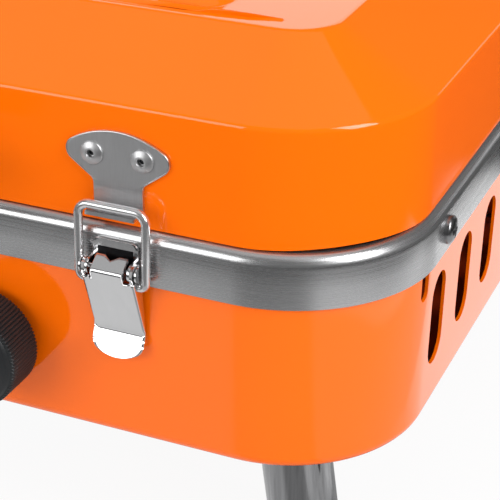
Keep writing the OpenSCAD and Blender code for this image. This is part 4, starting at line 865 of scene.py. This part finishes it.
def makeFloor():
    t, halfWidth, halfDepth = table, body["width"] / 2000, body["depth"] / 2000
    material, tree, place = startFinish("pale floor")
    xyz = addNode(tree, "ShaderNodeSeparateXYZ", {"Vector": place}).outputs
    made = {"x": xyz["X"], "y": xyz["Y"]}
    # brightness step by step: name, operation and what it works on, a step above or a number
    steps = (
        ("along", "SUBTRACT", "y", float(origin[1])),
        ("acrossX", "ABSOLUTE", "x"),
        ("pastX", "SUBTRACT", "acrossX", halfWidth),
        ("outX", "MAXIMUM", "pastX", 0.0),  # how far outside the grill, to the side
        ("pastFront", "SUBTRACT", -halfDepth, "along"),
        ("outFront", "MAXIMUM", "pastFront", 0.0),  # to the front
        ("pastBack", "SUBTRACT", "along", halfDepth),
        ("outBack", "MAXIMUM", "pastBack", 0.0),  # to the back
        ("outY", "MULTIPLY_ADD", "outBack", t["backShare"], "outFront"),
        ("squareX", "MULTIPLY", "outX", "outX"),
        ("square", "MULTIPLY_ADD", "outY", "outY", "squareX"),
        ("away", "POWER", "square", 0.5),  # all together
        ("onTable", "fade", "away", t["reach"]),
        ("open", "MULTIPLY_ADD", "along", -t["slant"], t["corner"]),
        ("limit", "MAXIMUM", "open", t["strip"]),
        ("pastLimit", "SUBTRACT", "outX", "limit"),
        ("drawnIn", "fade", "pastLimit", t["cornerEdge"]),
        ("inside", "MULTIPLY", "onTable", "drawnIn"),
        ("inStrip", "fade", "outX", t["stripEdge"]),
        ("alongStrip", "fade", "along", t["stripFrom"]),
        ("beside", "MULTIPLY", "inStrip", "alongStrip"),
        ("inBand", "fade", "outX", t["bandEdge"]),
        ("bandLight", "MULTIPLY", "inBand", t["bandExtra"]),
        ("alongBand", "fade", "along", t["bandFrom"]),
        ("sideLight", "MULTIPLY_ADD", "bandLight", "alongBand", t["stripExtra"]),
        ("plain", "MULTIPLY_ADD", "beside", "sideLight", t["level"]),
        ("inRing", "fade", "away", t["ringEdge"]),
        ("besideRing", "fade", "outX", t["ringSide"]),
        ("ring", "MULTIPLY", "inRing", "besideRing"),
        ("bright", "MULTIPLY_ADD", "ring", t["ringExtra"], "plain"),
        ("aside", "MULTIPLY_ADD", "outFront", t["lean"], "acrossX"),
        ("inWedge", "fade", "aside", t["wedgeAside"]),
        ("ahead", "ADD", "outFront", t["least"]),
        ("turn", "DIVIDE", "outX", "ahead"),
        ("turnedOff", "fade", "turn", t["wedgeTurn"]),
        ("wedge", "MULTIPLY", "inWedge", "turnedOff"),
        ("left", "MULTIPLY_ADD", "wedge", -t["wedgeCut"], 1.0),
        ("level", "MULTIPLY", "bright", "left"),
        ("strength", "MULTIPLY_ADD", "level", "inside", t["beyond"]),
    )
    for name, operation, *inputs in steps:
        if operation == "fade":
            value, (full, gone) = inputs
            node = addNode(tree, "ShaderNodeMapRange", {
                "Value": made[value], "From Min": full, "From Max": gone, "To Min": 1.0, "To Max": 0.0},
                interpolation_type="SMOOTHSTEP")
        else:
            inputs = {i: made.get(value, value) for i, value in enumerate(inputs)}
            node = addNode(tree, "ShaderNodeMath", inputs, operation=operation)
        made[name] = node.outputs[0]
    glow = addNode(tree, "ShaderNodeEmission", {"Strength": made["strength"]})
    ray = addNode(tree, "ShaderNodeLightPath").outputs
    matt = addNode(tree, "ShaderNodeBsdfDiffuse", {"Color": hexToLinear(t["albedo"])})
    white = addNode(tree, "ShaderNodeEmission", {"Color": (1, 1, 1, 1), "Strength": 1.0})
    seen = addNode(tree, "ShaderNodeMath", {0: ray["Is Camera Ray"], 1: t["seen"]}, operation="MULTIPLY")
    for share, other in ((seen.outputs[0], white), (ray["Is Glossy Ray"], glow)):
        inputs = {0: share, 1: matt.outputs[0], 2: other.outputs[0]}
        matt = addNode(tree, "ShaderNodeMixShader", inputs)
    endFinish(material, tree, matt)
    mesh = bpy.data.meshes.new("floor")
    corners = [(x * t["size"], y * t["size"], t["under"]) for x, y in ((-1, -1), (1, -1), (1, 1), (-1, 1))]
    mesh.from_pydata(corners, [], [(0, 1, 2, 3)])
    mesh.materials.append(material)
    floor = bpy.data.objects.new("floor", mesh)
    bpy.context.scene.collection.objects.link(floor)


# Even light from all round for matt surfaces; a plain grey room is what glossy ones mirror
room = dict(soft=0.74, mirrored=0.1, seen=1.0)  # in the order in which makeWorld mixes them


def makeWorld():
    world = bpy.data.worlds.new("studio")
    bpy.context.scene.world = world
    world.use_nodes = True
    tree = world.node_tree
    tree.nodes.clear()
    ray = addNode(tree, "ShaderNodeLightPath").outputs
    soft, grey, white = (addNode(tree, "ShaderNodeBackground", {"Color": (1, 1, 1, 1), "Strength": level})
                         for level in room.values())
    for share, other in ((ray["Is Glossy Ray"], grey), (ray["Is Camera Ray"], white)):
        soft = addNode(tree, "ShaderNodeMixShader", {0: share, 1: soft.outputs[0], 2: other.outputs[0]})
    addNode(tree, "ShaderNodeOutputWorld", {"Surface": soft.outputs[0]})


# Softboxes: direction from the grill, distance, width and height in metres, brightness of the cloth.
# A lamp's power is that brightness times pi times the cloth's area.
lamps = {
    "key softbox": dict(toward=(0.80, -0.26, 0.54), distance=1.3, size=(0.46, 0.8), cloth=8.4),
    "front softbox": dict(toward=(-0.40, -0.78, 0.285), distance=1.3, size=(0.9, 0.62), cloth=3.5),
    "overhead softbox": dict(toward=(0.0, -0.12, 1.0), distance=1.5, size=(1.7, 1.5), cloth=0.4),
    "rear softbox": dict(toward=(-0.55, 0.75, 0.46), distance=1.6, size=(1.9, 1.0), cloth=1.4),
    "low rear softbox": dict(toward=(0.37, 0.92, 0.08), distance=1.5, size=(0.7, 0.24), cloth=0.9),
}
aim = np.array([0.0, 0.0, 0.1])  # the middle of the grill


def makeLamps():
    for name, lamp in lamps.items():
        data = bpy.data.lights.new(name, "AREA")
        data.shape, (data.size, data.size_y) = "RECTANGLE", lamp["size"]
        data.energy = lamp["cloth"] * np.pi * data.size * data.size_y
        back = np.array(lamp["toward"]) / np.linalg.norm(lamp["toward"])
        right = np.cross([0, 0, 1], back)
        right = right / np.linalg.norm(right)
        light = placed(name, data, right, np.cross(back, right), back, aim + back * lamp["distance"])
        light.visible_camera = False


makeCamera()
makeFloor()
makeWorld()
makeLamps()
bpy.context.scene.view_settings.view_transform = "Standard"
print("stage made")
